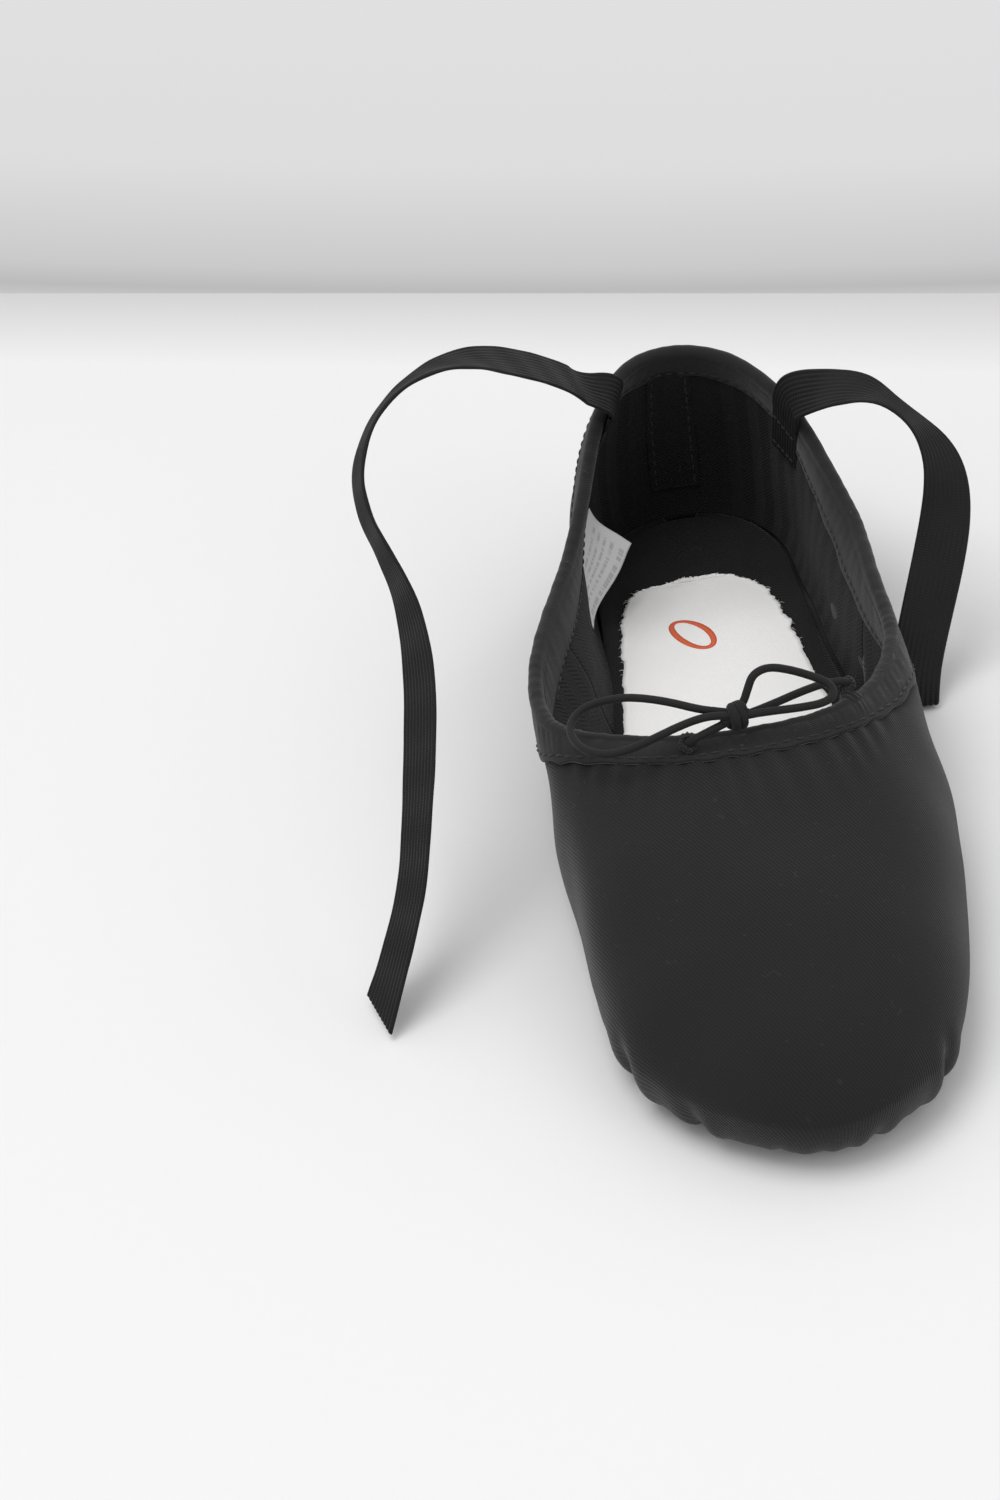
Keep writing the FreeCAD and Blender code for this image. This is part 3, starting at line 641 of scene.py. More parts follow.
def top_frame(k, w=1.75):
    s = s_down(k, w)[:, 0]
    p, n = surf(k, s), normal(k, s)
    u = surf(k, np.minimum(1, s + .01)) - surf(k, s - .01)
    t = unit(surf(k + .03, s) - surf(k - .03, s))
    return p, n, unit(u - t * (u * t).sum(-1, keepdims=True))


def binding_rows(k, r, grow):
    p, n, u = top_frame(k)
    e = grow
    rip = .075 * np.sin(2 * np.pi * kd(k, 0) / .61 + 1.2 * np.sin(kd(k, 0) * 1.9)) * (.5 + .5 * smooth((8.5 - np.abs(kd(k, 0))) / 3))
    rip += .035 * np.sin(2 * np.pi * kd(k, 0) / .23 + 2 * np.sin(kd(k, 0) * 3.1))
    puck = 1.25 * gauss(kd(k, EXIT_L), .17) * (1 + .35 * np.cos(2 * np.pi * kd(k, EXIT_L) / .13)) + .55 * gauss(kd(k, EXIT_M), .16) * (1 + .4 * np.cos(2 * np.pi * kd(k, EXIT_M) / .12))
    deep = BINDING_DEEP + .18 * np.sin(2 * np.pi * kd(k, 0) / .83) + .12 * np.sin(kd(k, 0) * 9.1)
    rows = []
    prof = [(1.0, .06, 0), (.985, .10, 0), (.93, .16, .1), (.86, .10, .0), (.78, .14, .2), (.68, .22, .5), (.58, .26, .9), (.48, .25, 1.0), (.40, .22, 1.0), (.34, .18, .9)]
    for f, g, a in prof:
        ww = deep * f
        sk = S_TAB(k, ww)
        rows.append(off(k, sk, g + e + rip * a + puck * a * .25))
    for deg in (-28, -12, 5, 22, 40, 58, 76, 94, 112, 130, 148, 166, 184, 202):
        t = math.radians(deg)
        rr = r + (rip * .8) * max(0, math.sin(t) + .3) + puck * (.35 + .65 * max(0, math.sin(t)))
        rows.append(p + n * (MID + rr * math.cos(t))[:, None] + u * (rr * math.sin(t))[:, None])
    for f, g, a in prof[::-1]:
        sk = S_TAB(k, deep * f)
        rows.append(off(k, sk, 2 * MID - g - e - rip * a * .8 - .25))
    return np.stack(rows, 1)


GAPS = {}


def S_TAB(k, w):
    """s at distance w (one value per station)"""
    key = (len(k), float(k[0]), float(k[-1]))
    if key not in GAPS:
        GAPS[key] = wall_gap(k)
    L = GAPS[key]
    return np.array([np.interp(w[i], L[i], SG[::-1]) for i in range(len(k))])


kb = np.linspace(0, 24, 1001)[:-1] - 8.0
Ab, Bb = binding_rows(kb, R_CHANNEL + T_BINDING, T_BINDING), binding_rows(kb, R_CHANNEL, 0.0)
lenb = np.concatenate([[0], np.cumsum(np.linalg.norm(np.diff(Ab[:, 14], axis=0), axis=1))])
vb = np.concatenate([[0], np.cumsum(np.linalg.norm(np.diff(Ab[200], axis=0), axis=1))])
uvb = np.stack(np.meshgrid(lenb, vb, indexing="ij"), -1) / 1000.0
binding = paint(thick("binding", M(Ab), M(Bb), uvb, close=True), "binding")
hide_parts("binding_front", "binding_heel_lateral", "binding_heel_medial", "binding_arch_lateral", "binding_arch_medial")
bend(binding)

# stitch rows through the binding, outside and inside
for nm, d, w in (("binding_stitch_outer", T_BINDING + .24, 7.35), ("binding_stitch_inner", 2 * MID - T_BINDING - .52, 7.35)):
    ks = np.linspace(-8, 16, 1200)
    sk = S_TAB(ks, np.full(len(ks), w) + .12 * np.sin(ks * 5.0))
    P, Nn = off(ks, sk, np.full(len(ks), d)), normal(ks, sk) * (1 if d > 0 else -1)
    o = paint(stitches(nm, M(P), Nn, 2.9, 2.1, .24), "thread")
    bend(o)

# the cord inside its channel, drawn through the whole topline
kc = np.linspace(3.5, 22.8, 420)
p, n, u = top_frame(kc)
ch = M(p + n * MID)
chan = paint(tube_mesh("drawstring_in_channel", ch, R_CORD / 1000, 10), "cord")
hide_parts("drawstring_front_lateral", "drawstring_front_medial", "drawstring_arch_lateral", "drawstring_arch_medial", "drawstring_heel")
bend(chan)

# ------------------------------------------------------------------ seams
for nm, kk in (("side_seam_lateral", SEAM_K + .006), ("side_seam_medial", 24 - SEAM_K - .006)):
    for t, dk in (("front", -.075), ("rear", .075)):
        sgn = 1 if kk < 12 else -1
        s = np.linspace(.12, float(s_down([kk], 9.2)[0, 0]), 160)
        ks = np.full(160, kk + dk * sgn)
        P0 = surf(ks, s)
        D = wrinkle(ks, s, P0)
        if t == "rear":
            o = paint(stitches(nm, M(P0 + normal(ks, s) * (D + .16)[:, None]), normal(ks, s), 2.6, 1.9, .22), "thread")
            bend(o)
# seam allowances, pressed open behind each seam
for nm, kk in (("seam_allowance_lateral", SEAM_K), ("seam_allowance_medial", 24 - SEAM_K), ("seam_allowance_back", 12.0)):
    k = np.linspace(kk - .16, kk + .16, 17)
    s = np.linspace(.04, float(s_down([kk], 6.5)[0, 0]), 90)
    Ka, Sa = np.meshgrid(k, s, indexing="ij")
    Pa, Na = surf(Ka, Sa), normal(Ka, Sa)
    Da = wrinkle(Ka, Sa, Pa) - T_CANVAS - .04
    up_, dn_ = Pa + Na * Da[..., None], Pa + Na * (Da - .18)[..., None]
    up_[..., 2], dn_[..., 2] = np.maximum(up_[..., 2], 1.95), np.maximum(dn_[..., 2], 2.1)
    o = paint(thick(nm, M(up_), M(dn_), arc_uv(Pa / 1000)), "canvas")
    bend(o) if kk != 12.0 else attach(o, "heel")
s = np.linspace(.12, float(s_down([12.0], 9.2)[0, 0]), 160)
for i, dk in enumerate((-.07, .07)):
    ks = np.full(160, 12 + dk)
    P0 = surf(ks, s)
    o = paint(stitches("back_seam_stitch_%d" % (i + 1), M(P0 + normal(ks, s) * (wrinkle(ks, s, P0) + .16)[:, None]), normal(ks, s), 2.6, 1.9, .22), "thread")
    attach(o, "heel")

# inner back-seam tape with its two stitch rows
kt = np.linspace(11.64, 12.36, 26)
wt = np.linspace(6.6, 48.0, 60)
st = s_down(kt, wt)
Kt = np.repeat(kt[:, None], 60, 1)
dt = -(T_CANVAS + .6 + T_LINING) - .42 - .16 * gauss((Kt - 12) / .36, .35) - .05 * np.sin(st * 60)
tape = paint(thick("back_seam_tape_cover", M(off(Kt, st, dt)), M(off(Kt, st, dt + .4)), arc_uv(surf(Kt, st) / 1000)), "lining")
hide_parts("back_seam_tape")
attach(tape, "heel")
for i, kk in enumerate((11.72, 12.28)):
    w = np.linspace(9.0, 47.0, 120)
    s = s_down([kk], w)[0]
    ks = np.full(120, kk)
    o = paint(stitches("back_tape_stitch_%d" % (i + 1), M(off(ks, s, np.full(120, -(T_CANVAS + .6 + T_LINING) - .50))), -normal(ks, s), 3.0, 2.2, .25), "thread")
    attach(o, "heel")

# ------------------------------------------------------------------ foot bed


def inset_xy(k, d):
    ox, oy = bev(OX, k), bev(OY, k)
    dx, dy = bev(OX, k + .02) - bev(OX, k - .02), bev(OY, k + .02) - bev(OY, k - .02)
    n = np.hypot(dx, dy)
    return ox - dy / n * d, oy + dx / n * d


def floor_z(y):
    return 5.65 + 2.9 * bump_y(y)


kr = np.concatenate([np.linspace(.35, 2, 20)[:-1], np.linspace(2, 10.5, 70)[:-1], np.linspace(10.5, 11.72, 20)])
cx = np.linspace(0, 1, 41)


def bed(name, ks, dl, dm, z0, th, key, tail=None, dip=0.0):
    y = bev(OY, ks)
    ax, ay = inset_xy(ks, dl(y))
    bx, by = inset_xy(-ks, dm(y))
    X = ax[:, None] + (bx - ax)[:, None] * cx
    Y = ay[:, None] + (by - ay)[:, None] * cx
    if tail is not None:
        Y = Y + tail(cx)[None] * (np.linspace(0, 1, len(ks)) ** 3)[:, None]
    edge = np.minimum(cx, 1 - cx)[None]
    Z = floor_z(Y) + z0 + dip * (1 - smooth(edge / .12)) + .10 * np.sin(X / 6 + Y / 9) * smooth(edge / .1)
    A = np.stack([X, Y, Z + th], -1)
    B = np.stack([X, Y, Z], -1)
    uv = np.stack([X, Y], -1) / 1000
    return paint(thick(name, M(A), M(B), uv), key)


fl = bed("floor_lining", kr, lambda y: 5.2 + 0 * y, lambda y: 5.2 + 0 * y, 0.0, .5, "lining", dip=1.0)
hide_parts("floor_lining_forefoot", "floor_lining_arch", "floor_lining_heel")
bend(fl)

# white sock: its rear and side edges are torn, not hemmed
SOCK = [(-8, 80.5), (0, 82.0), (8, 80.8), (13.5, 76.5), (16.5, 70.5), (18.0, 62.0), (19.6, 50.0), (20.8, 38.0), (22.6, 22.0), (25.6, 4.0), (28.4, -14.0), (29.4, -34.0), (29.8, -56.0), (26.8, -80.0), (20.0, -98.0), (9.0, -110.5), (-3.0, -112.0),
        (-15.5, -104.0), (-24.5, -90.0), (-29.4, -70.0), (-31.0, -46.0), (-29.4, -22.0), (-26.4, 0.0), (-23.2, 20.0), (-21.4, 40.0), (-20.2, 58.0), (-18.0, 72.0), (-14.0, 79.0)]
SP = np.array(SOCK, float)


def closed_curve(P, n):
    """smooth closed line through P"""
    m = len(P)
    A = np.eye(m) * 4 / 6 + np.roll(np.eye(m), 1, 1) / 6 + np.roll(np.eye(m), -1, 1) / 6
    C = np.linalg.solve(A, P)
    x = np.linspace(0, m, n, endpoint=False)
    i = np.floor(x).astype(int)
    f = (x - i)[:, None]
    g = lambda j: C[(i + j) % m]
    return (g(-1) * (1 - f) ** 3 + g(0) * (3 * f ** 3 - 6 * f * f + 4) + g(1) * (-3 * f ** 3 + 3 * f * f + 3 * f + 1) + g(2) * f ** 3) / 6


def rough_line(n, seed, scales):
    r = np.random.default_rng(seed)
    out = np.zeros(n)
    for amp, cell in scales:
        q = r.uniform(-1, 1, max(4, int(n / cell)))
        out += amp * np.interp(np.linspace(0, len(q), n, endpoint=False), np.arange(len(q) + 1), np.append(q, q[0]))
    return out


NS = 900
loop = closed_curve(SP, NS)
nrm = np.stack([np.roll(loop[:, 1], -1) - np.roll(loop[:, 1], 1), -(np.roll(loop[:, 0], -1) - np.roll(loop[:, 0], 1))], -1)
nrm = unit(nrm)
if ((loop[0] + nrm[0] - loop.mean(0)) ** 2).sum() < ((loop[0] - loop.mean(0)) ** 2).sum():
    nrm = -nrm
rag = rough_line(NS, 3, [(.42, 9), (.30, 3), (.16, 1.2)]) * (.35 + .65 * smooth((loop[:, 1] + 20) / 60))
loop = loop + nrm * rag[:, None]
zsock = lambda P, q: floor_z(P[:, 1]) + .62 + .12 * np.sin(P[:, 0] / 7 + P[:, 1] / 10) + .25 * max(0.0, 1 - q * 6) * smooth((P[:, 1] - 50) / 25)
i0 = int(np.argmax(loop[:, 1]))
turned = np.roll(loop, -i0, 0)
half = NS // 2
right, left = turned[1:half], turned[::-1][0:half - 1]
if right[:, 0].mean() < left[:, 0].mean():
    right, left = left, right
qs = np.linspace(0, 1, 41)
XY = left[:, None] * (1 - qs)[None, :, None] + right[:, None] * qs[None, :, None]
rim = np.exp(-np.minimum(qs, 1 - qs) / .03)[None] * smooth((XY[..., 1] - 30) / 25)
ZS = floor_z(XY[..., 1]) + .62 + .12 * np.sin(XY[..., 0] / 7 + XY[..., 1] / 10) + .22 * rim
SB = np.concatenate([XY, ZS[..., None]], -1)
sock = paint(thick("white_sock", M(SB + [0, 0, .45]), M(SB), XY / 1000), "sock")
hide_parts("sock_forefoot", "sock_arch", "sock_heel")
bend(sock)

# loose threads on the torn edge
parts_v, parts_f, parts_uv = [], [], []
rr = np.random.default_rng(11)
for i in rr.choice(NS, 150, replace=False):
    p = loop[i]
    if p[1] < 8 or p[0] < -22:
        continue
    L = rr.uniform(.5, 1.9)
    a = math.atan2(nrm[i, 1], nrm[i, 0]) + rr.uniform(-.9, .9)
    z = float(zsock(p[None], 0)[0]) + rr.uniform(.15, .4)
    m_ = 5
    curl = rr.uniform(-.9, .9)
    pts = [(p[0] - nrm[i, 0] * .4, p[1] - nrm[i, 1] * .4, z)]
    for j in range(m_):
        a += curl / m_
        pts.append((pts[-1][0] + math.cos(a) * L / m_, pts[-1][1] + math.sin(a) * L / m_, z + .18 * math.sin(j)))
    P = M(pts)
    T, N1, B1 = frames_along(P)
    base = sum(len(v) for v in parts_v)
    ring = 5
    V_ = []
    for j, q in enumerate(P):
        r0 = .085e-3 * (1 - .12 * j)
        V_ += [q + r0 * (math.cos(2 * math.pi * t / ring) * N1[j] + math.sin(2 * math.pi * t / ring) * B1[j]) for t in range(ring)]
    parts_v.append(V_)
    for j in range(len(P) - 1):
        for t in range(ring):
            t2 = (t + 1) % ring
            parts_f.append((base + j * ring + t, base + j * ring + t2, base + (j + 1) * ring + t2, base + (j + 1) * ring + t))
    parts_f.append(tuple(base + t for t in range(ring))[::-1])
    parts_f.append(tuple(base + (len(P) - 1) * ring + t for t in range(ring)))
VV = np.concatenate([np.array(v) for v in parts_v])
fray = paint(make_obj("sock_loose_threads", VV, parts_f, np.zeros((len(VV), 2)) + np.arange(len(VV))[:, None] * 2e-5), "raw")
bend(fray)

# small plain printed ring on the sock (a generic mark)
ctr = np.array([-3.6, 52.0])
ang = math.radians(-64)
V_, F = [], []
NR = 120
for layer, dz in ((0, .02), (1, .07)):
    for rad in (1.0, .74):
        for i in range(NR):
            t = 2 * math.pi * i / NR
            x, y = 8.2 * math.cos(t) * (1 if rad == 1 else .84), 4.4 * math.sin(t) * rad * (1 if rad == 1 else .84)
            q = ctr + np.array([x * math.cos(ang) - y * math.sin(ang), x * math.sin(ang) + y * math.cos(ang)])
            z = float(zsock(q[None], 1)[0]) + .45 + dz
            V_.append((q[0], q[1], z))
for i in range(NR):
    j = (i + 1) % NR
    o0, i0, o1, i1 = i, NR + i, 2 * NR + i, 3 * NR + i
    F += [(o0, j, NR + j, i0)[::-1], (o1, 2 * NR + j, 3 * NR + j, i1), (o0, j, 2 * NR + j, o1), (i0, NR + j, 3 * NR + j, i1)[::-1]]
ringm = paint(make_obj("sock_print_ring", M(V_), F, np.zeros((len(V_), 2))), "ink")
bend(ringm)

# ------------------------------------------------------------------ underside: suede pads, arch gusset


def suede(name, k0, k1, d, bulge, node, body):
    ks = np.linspace(k0, k1, 90)
    x, y = inset_xy(ks, d)
    pts = np.stack([x, y], -1)
    a, b = pts[0], pts[-1]
    mid, half = (a + b) / 2, (a - b) / 2
    t = np.pi * np.arange(1, 30) / 30.0
    tail = mid - np.cos(t)[:, None] * half + np.stack([0 * t, bulge * np.sin(t)], -1)
    P = np.concatenate([pts, tail])
    L = np.concatenate([[0], np.cumsum(np.linalg.norm(np.diff(np.vstack([P, P[:1]]), axis=0), axis=1))])
    n = 320
    x = np.linspace(0, L[-1], n, endpoint=False)
    Q = np.stack([np.interp(x, L, np.append(P[:, i], P[0, i])) for i in range(2)], -1)
    for _ in range(3):
        Q = (np.roll(Q, 1, 0) + Q * 2 + np.roll(Q, -1, 0)) / 4
    nn = np.stack([np.roll(Q[:, 1], -1) - np.roll(Q[:, 1], 1), -(np.roll(Q[:, 0], -1) - np.roll(Q[:, 0], 1))], -1)
    nn = unit(nn)
    if ((Q[0] + nn[0] - Q.mean(0)) ** 2).sum() > ((Q[0] - Q.mean(0)) ** 2).sum():
        nn = -nn          # now points inwards
    # profile of the edge: bottom flat, skived edge, top
    prof = [(6.0, 0.0), (3.0, 0.0), (2.2, .02), (1.75, .13), (1.5, .16), (1.25, .10), (.7, .03), (.3, .16), (.06, .5), (0.0, .85), (.08, 1.2), (.4, 1.42), (1.2, 1.5), (4.0, 1.5)]
    V_, uv = [], []
    for q, z in prof:
        R = Q + nn * q
        V_.append(np.concatenate([R, np.full((n, 1), z)], 1))
        uv.append(R / 1000)
    m = len(prof)
    c = Q.mean(0)
    for z, base in ((0.0, 0), (1.5, m - 1)):
        for f in (.25, .5, .75):
            R = (Q + nn * prof[base][0]) * (1 - f) + c * f
            V_.append(np.concatenate([R, np.full((n, 1), z)], 1))
            uv.append(R / 1000)
    V_.append(np.array([[c[0], c[1], 0.0], [c[0], c[1], 1.5]]))
    uv.append(np.array([c, c]) / 1000)
    F = []
    ringq = lambda a, b: [(a * n + i, a * n + (i + 1) % n, b * n + (i + 1) % n, b * n + i) for i in range(n)]
    for r_i in range(m - 1):
        F += ringq(r_i, r_i + 1)
    F += ringq(m, 0) + ringq(m + 1, m) + ringq(m + 2, m + 1)
    F += ringq(m - 1, m + 3) + ringq(m + 3, m + 4) + ringq(m + 4, m + 5)
    last = (m + 6) * n
    F += [(last, (m + 2) * n + (i + 1) % n, (m + 2) * n + i) for i in range(n)]
    F += [(last + 1, (m + 5) * n + i, (m + 5) * n + (i + 1) % n) for i in range(n)]
    o = paint(make_obj(name, M(np.concatenate(V_)), F, np.concatenate(uv)), "suede")
    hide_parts(node)
    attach(o, body)
    row = Q + nn * 1.5
    row = np.vstack([row, row[:1]])
    s_o = paint(stitches(name + "_stitch", M(np.concatenate([row, np.full((len(row), 1), .30)], 1)), np.tile([0, 0, -1.0], (len(row), 1)), 2.7, 2.0, .22, -.02), "thread")
    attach(s_o, body)


suede("suede_pad_forefoot", -5.5, 5.5, 9.0, 12.0, "outsole_forefoot", "forefoot")
suede("suede_pad_heel", 9.7, 14.3, 8.5, -10.0, "outsole_heel", "heel")

# arch gusset between the turned-under edges, from under the front pad to the heel pad
yg = np.linspace(-14.0, 84.0, 120)


def width_at(y, side):
    ks = np.linspace(0, 12, 600)
    return np.interp(y, bev(OY, ks), bev(OX, side * ks))


gx = np.linspace(0, 1, 30)
xa, xb = width_at(yg, -1) + 13.5, width_at(yg, 1) - 13.5
X = xa[:, None] + (xb - xa)[:, None] * gx
Y = np.repeat(yg[:, None], 30, 1)
Zg = Z_UNDER + ARCH_RISE * bump_y(Y) + .95 + .12 * np.sin(Y / 3.1) * bump_y(Y)
gus = paint(thick("arch_gusset", M(np.stack([X, Y, Zg + .5], -1)), M(np.stack([X, Y, Zg], -1)), np.stack([X, Y], -1) / 1000), "canvas")
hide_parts("arch_underlay")
bend(gus)

# ------------------------------------------------------------------ elastics
ELASTIC_MEDIAL = [
    ((-20.2, 86.0, 60.0), (-.10, -.97, .12)), ((-24.2, 79.6, 67.0), (-.02, -.99, .08)), ((-30.0, 72.0, 74.4), (.02, -.99, .04)), ((-37.7, 63.6, 81.8), (-.05, -.98, .10)),
    ((-45.8, 54.0, 88.2), (-.05, -.97, .22)), ((-54.2, 44.0, 92.0), (-.05, -.95, .30)), ((-62.6, 34.6, 92.2), (-.02, -.94, .34)), ((-69.0, 26.6, 88.6), (.10, -.92, .37)),
    ((-72.4, 19.2, 82.2), (.22, -.90, .36)), ((-71.8, 12.8, 75.7), (.28, -.86, .42)), ((-68.8, 6.4, 69.8), (.28, -.78, .55)), ((-66.2, 0.8, 64.2), (.36, -.68, .62)),
    ((-64.8, -5.2, 58.5), (.50, -.59, .63)), ((-64.6, -15.0, 50.2), (.62, -.55, .56)), ((-66.8, -27.0, 39.4), (.60, -.66, .44)), ((-69.0, -36.8, 31.0), (.54, -.72, .44)),
    ((-71.6, -45.8, 21.6), (.54, -.70, .46)), ((-75.2, -52.6, 14.6), (.54, -.70, .42)), ((-79.0, -58.0, 7.6), (.53, -.78, .32)), ((-82.0, -61.8, 2.2), (.55, -.80, .22)),
]
ELASTIC_LATERAL = [
    ((34.0, 74.0, 57.0), (-.08, -.96, -.24)), ((38.9, 70.0, 58.9), (-.08, -.98, -.14)), ((43.9, 66.0, 59.2), (-.05, -.99, -.02)), ((49.2, 61.8, 57.2), (-.16, -.95, .24)), ((54.6, 57.2, 52.6), (-.48, -.80, .34)),
    ((57.6, 53.2, 47.0), (-.76, -.59, .25)), ((58.2, 49.8, 41.0), (-.91, -.38, .12)), ((56.8, 45.8, 34.2), (-.98, -.16, .02)), ((53.6, 40.2, 26.4), (-.99, .02, .02)),
    ((49.0, 32.6, 17.4), (-.97, -.02, .22)), ((45.0, 25.6, 9.6), (-.96, -.05, .26)), ((43.2, 20.8, 4.4), (-.98, -.04, .14)), ((42.8, 19.6, 1.9), (-.99, -.02, .04)),
    ((42.6, 21.6, 0.6), (-.99, -.02, 0)), ((42.6, 28.0, 0.6), (-.99, -.02, 0)), ((42.4, 38.0, 0.6), (-.99, -.06, 0)), ((41.2, 48.0, 0.6), (-.98, -.14, 0)), ((39.6, 58.0, 0.6), (-.96, -.2, 0)), ((37.4, 67.0, 0.6), (-.95, -.26, 0)),
]
TAB_END = 14.0


def strap_root(kc, side):
    """sewn end on the lining, up over the binding"""
    kk = np.array([kc])
    t = unit(surf(kk + side * .05, np.array([1.0])) - surf(kk - side * .05, np.array([1.0])))[0]
    out = []
    for w in (TAB_END, 11.0, 8.0, 5.0, 3.0):
        s = s_down(kk, w)[:, 0]
        out.append((tuple((surf(kk, s) + normal(kk, s) * -3.1)[0]), tuple(t)))
    p, n, u = (v[0] for v in top_frame(kk, 1.5))
    for a, b in ((-3.35, .2), (-3.25, 3.2), (-2.4, 6.4)):
        out.append((tuple(p + n * a + u * b), tuple(t)))
    return out


W_EL, T_EL, RIBS = 12.0, 0.9, 10


def strap(name, stations, node, tab):
    C = [s[0] for s in stations]
    E = [tuple(np.array(s[0]) + unit(np.array(s[1], float)) * 6.0) for s in stations]
    Pc, Pe = nurbs_points(C, 12), nurbs_points(E, 12)
    x = np.concatenate([[0], np.cumsum(np.linalg.norm(np.diff(Pc, axis=0), axis=1))])
    L = x
    T = unit(np.gradient(Pc, axis=0))
    Uv = Pe - Pc
    Uv = unit(Uv - T * (Uv * T).sum(1, keepdims=True))
    Nv = np.cross(T, Uv)
    per = 7
    q = np.linspace(-.5, .5, RIBS * per + 1)
    rib = .5 + .5 * np.cos(2 * np.pi * (q + .5) * RIBS + np.pi)
    edge = smooth((.5 - np.abs(q)) / .02)
    hgt = (.26 + .19 * rib ** .7) * (.35 + .65 * edge)
    wv = .05 * np.sin(x / 1.9)[:, None] * rib[None]      # stretch ripple of the rubber threads
    skew = np.zeros(len(x))
    if node:
        skew = 5.5 * smooth((x - (L[-1] - 9)) / 9)       # the free end is cut at a slant
    A = Pc[:, None] + Uv[:, None] * (q * W_EL)[None, :, None] + Nv[:, None] * (hgt[None] + wv)[..., None] + T[:, None] * (skew[:, None] * q[None])[..., None]
    B = Pc[:, None] + Uv[:, None] * (q * W_EL)[None, :, None] - Nv[:, None] * (hgt[None] + wv)[..., None] + T[:, None] * (skew[:, None] * q[None])[..., None]
    for G in (A, B):
        G[..., 2] = np.maximum(G[..., 2], .12)
    uv = np.stack(np.meshgrid(x, q * W_EL, indexing="ij"), -1) / 1000
    o = paint(thick(name, M(A), M(B), uv), "elastic")
    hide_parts(node, tab)
    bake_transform(o)
    # two straight rows holding the sewn end, on both faces
    ks = np.searchsorted(x, [1.4, TAB_END - 5.0])
    for j, i in enumerate(ks):
        line = Pc[i] + Uv[i][None] * np.linspace(-5.2, 5.2, 40)[:, None]
        for sgn, t in ((1, "a"), (-1, "b")):
            s_o = paint(stitches("%s_sewn_%d%s" % (name, j + 1, t), M(line + Nv[i] * .52 * sgn), np.tile(Nv[i] * sgn, (40, 1)), 2.1, 1.7, .22), "thread")
            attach(s_o, "heel")
    return o


mroot, lroot = strap_root(13.575, 1), strap_root(9.875, -1)
strap("elastic_strap_medial", mroot + ELASTIC_MEDIAL, "elastic_medial", "elastic_tab_medial")
strap("elastic_strap_lateral", lroot + ELASTIC_LATERAL, "elastic_lateral", "elastic_tab_lateral")

# ------------------------------------------------------------------ bow
SPAN = [(24.2, -19.6, 36.2), (23.6, -21.2, 38.4), (22.4, -22.0, 39.7), (18.6, -22.3, 40.2), (13.2, -25.0, 40.8), (7.0, -28.8, 41.4), (2.3, -31.9, 42.2), (-1.5, -33.6, 42.6), (-5.0, -34.9, 42.0), (-8.2, -35.6, 41.2), (-11.4, -35.8, 39.9), (-12.8, -34.6, 37.9), (-13.0, -33.2, 36.6)]
LOOP_M = [(-0.6, -33.0, 43.0), (-4.4, -32.4, 43.8), (-8.5, -31.8, 44.6), (-15.0, -27.5, 45.0), (-21.7, -23.6, 44.6), (-26.5, -22.2, 43.9), (-31.5, -22.6, 43.2), (-34.6, -25.6, 42.6),
          (-35.4, -30.0, 42.0), (-33.4, -35.4, 41.6), (-29.0, -38.6, 41.5), (-24.0, -38.4, 41.8), (-18.5, -36.4, 42.4), (-12.6, -34.6, 43.4), (-8.0, -34.4, 44.4), (-4.4, -34.7, 44.4), (-1.0, -34.6, 43.6)]
LOOP_L = [(-1.4, -33.2, 43.6), (0.4, -32.2, 44.9), (1.6, -31.4, 47.6), (3.0, -30.2, 50.2), (6.4, -28.9, 50.6), (10.8, -28.6, 48.9), (15.2, -29.2, 46.9), (18.4, -30.2, 45.2),
          (19.0, -32.4, 43.9), (16.6, -34.2, 43.4), (11.5, -34.6, 43.4), (6.0, -34.6, 43.6), (1.9, -34.6, 43.6), (-1.0, -34.4, 43.2)]


def bow_cord(name, pts, nodes, far, exit_):
    P = nurbs_points(pts, 14)
    L = float(np.linalg.norm(np.diff(P, axis=0), axis=1).sum())
    o = paint(tube_mesh(name, M(P), R_CORD / 1000, 16), "cord")
    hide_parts(*nodes)
    return o, P, L


# the knot: two wraps of cord round the span
ax = unit(np.array([-7.3, -3.0, -.2]))
c0 = np.array([-1.5, -33.7, 43.1])
e1 = unit(np.cross(ax, [0, 0, 1.0]))
e2 = np.cross(ax, e1)
t = np.linspace(-.35, 2.2, 90) * 2 * np.pi
wrap = c0 + ax * (1.05 * np.sin(t * .5) + .35 * (t / (2 * np.pi) - .9))[:, None] + e1 * (1.75 * np.cos(t) + .25 * np.sin(2 * t))[:, None] + e2 * (2.25 * np.sin(t))[:, None]
knot = paint(tube_mesh("bow_knot_wrap", M(wrap), .95 / 1000, 16), "cord")
t = np.linspace(0, 1, 50)
lump = c0 + ax * (np.linspace(-2.1, 2.1, 50))[:, None] + e1 * (.5 * np.sin(t * 9))[:, None] + e2 * (.45 * np.cos(t * 7))[:, None]
core = paint(tube_mesh("bow_knot_core", M(lump), (1.35 + .35 * np.sin(t * np.pi)) / 1000, 16), "cord")
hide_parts("bow_knot")
for o in (knot, core):
    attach(o, "bow")
span, Ps, Ls = bow_cord("bow_span", SPAN, ["bow_strand_lateral", "bow_strand_medial"], "object", SPAN[0])
lm, Pm, Lm = bow_cord("bow_loop_inner", LOOP_M, ["bow_loop_medial"], "object", LOOP_M[0])
ll, Pl, Ll = bow_cord("bow_loop_outer", LOOP_L, ["bow_loop_lateral"], "object", LOOP_L[0])
for o, P, L in ((span, Ps, Ls), (lm, Pm, Lm), (ll, Pl, Ll)):
    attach(o, "bow")

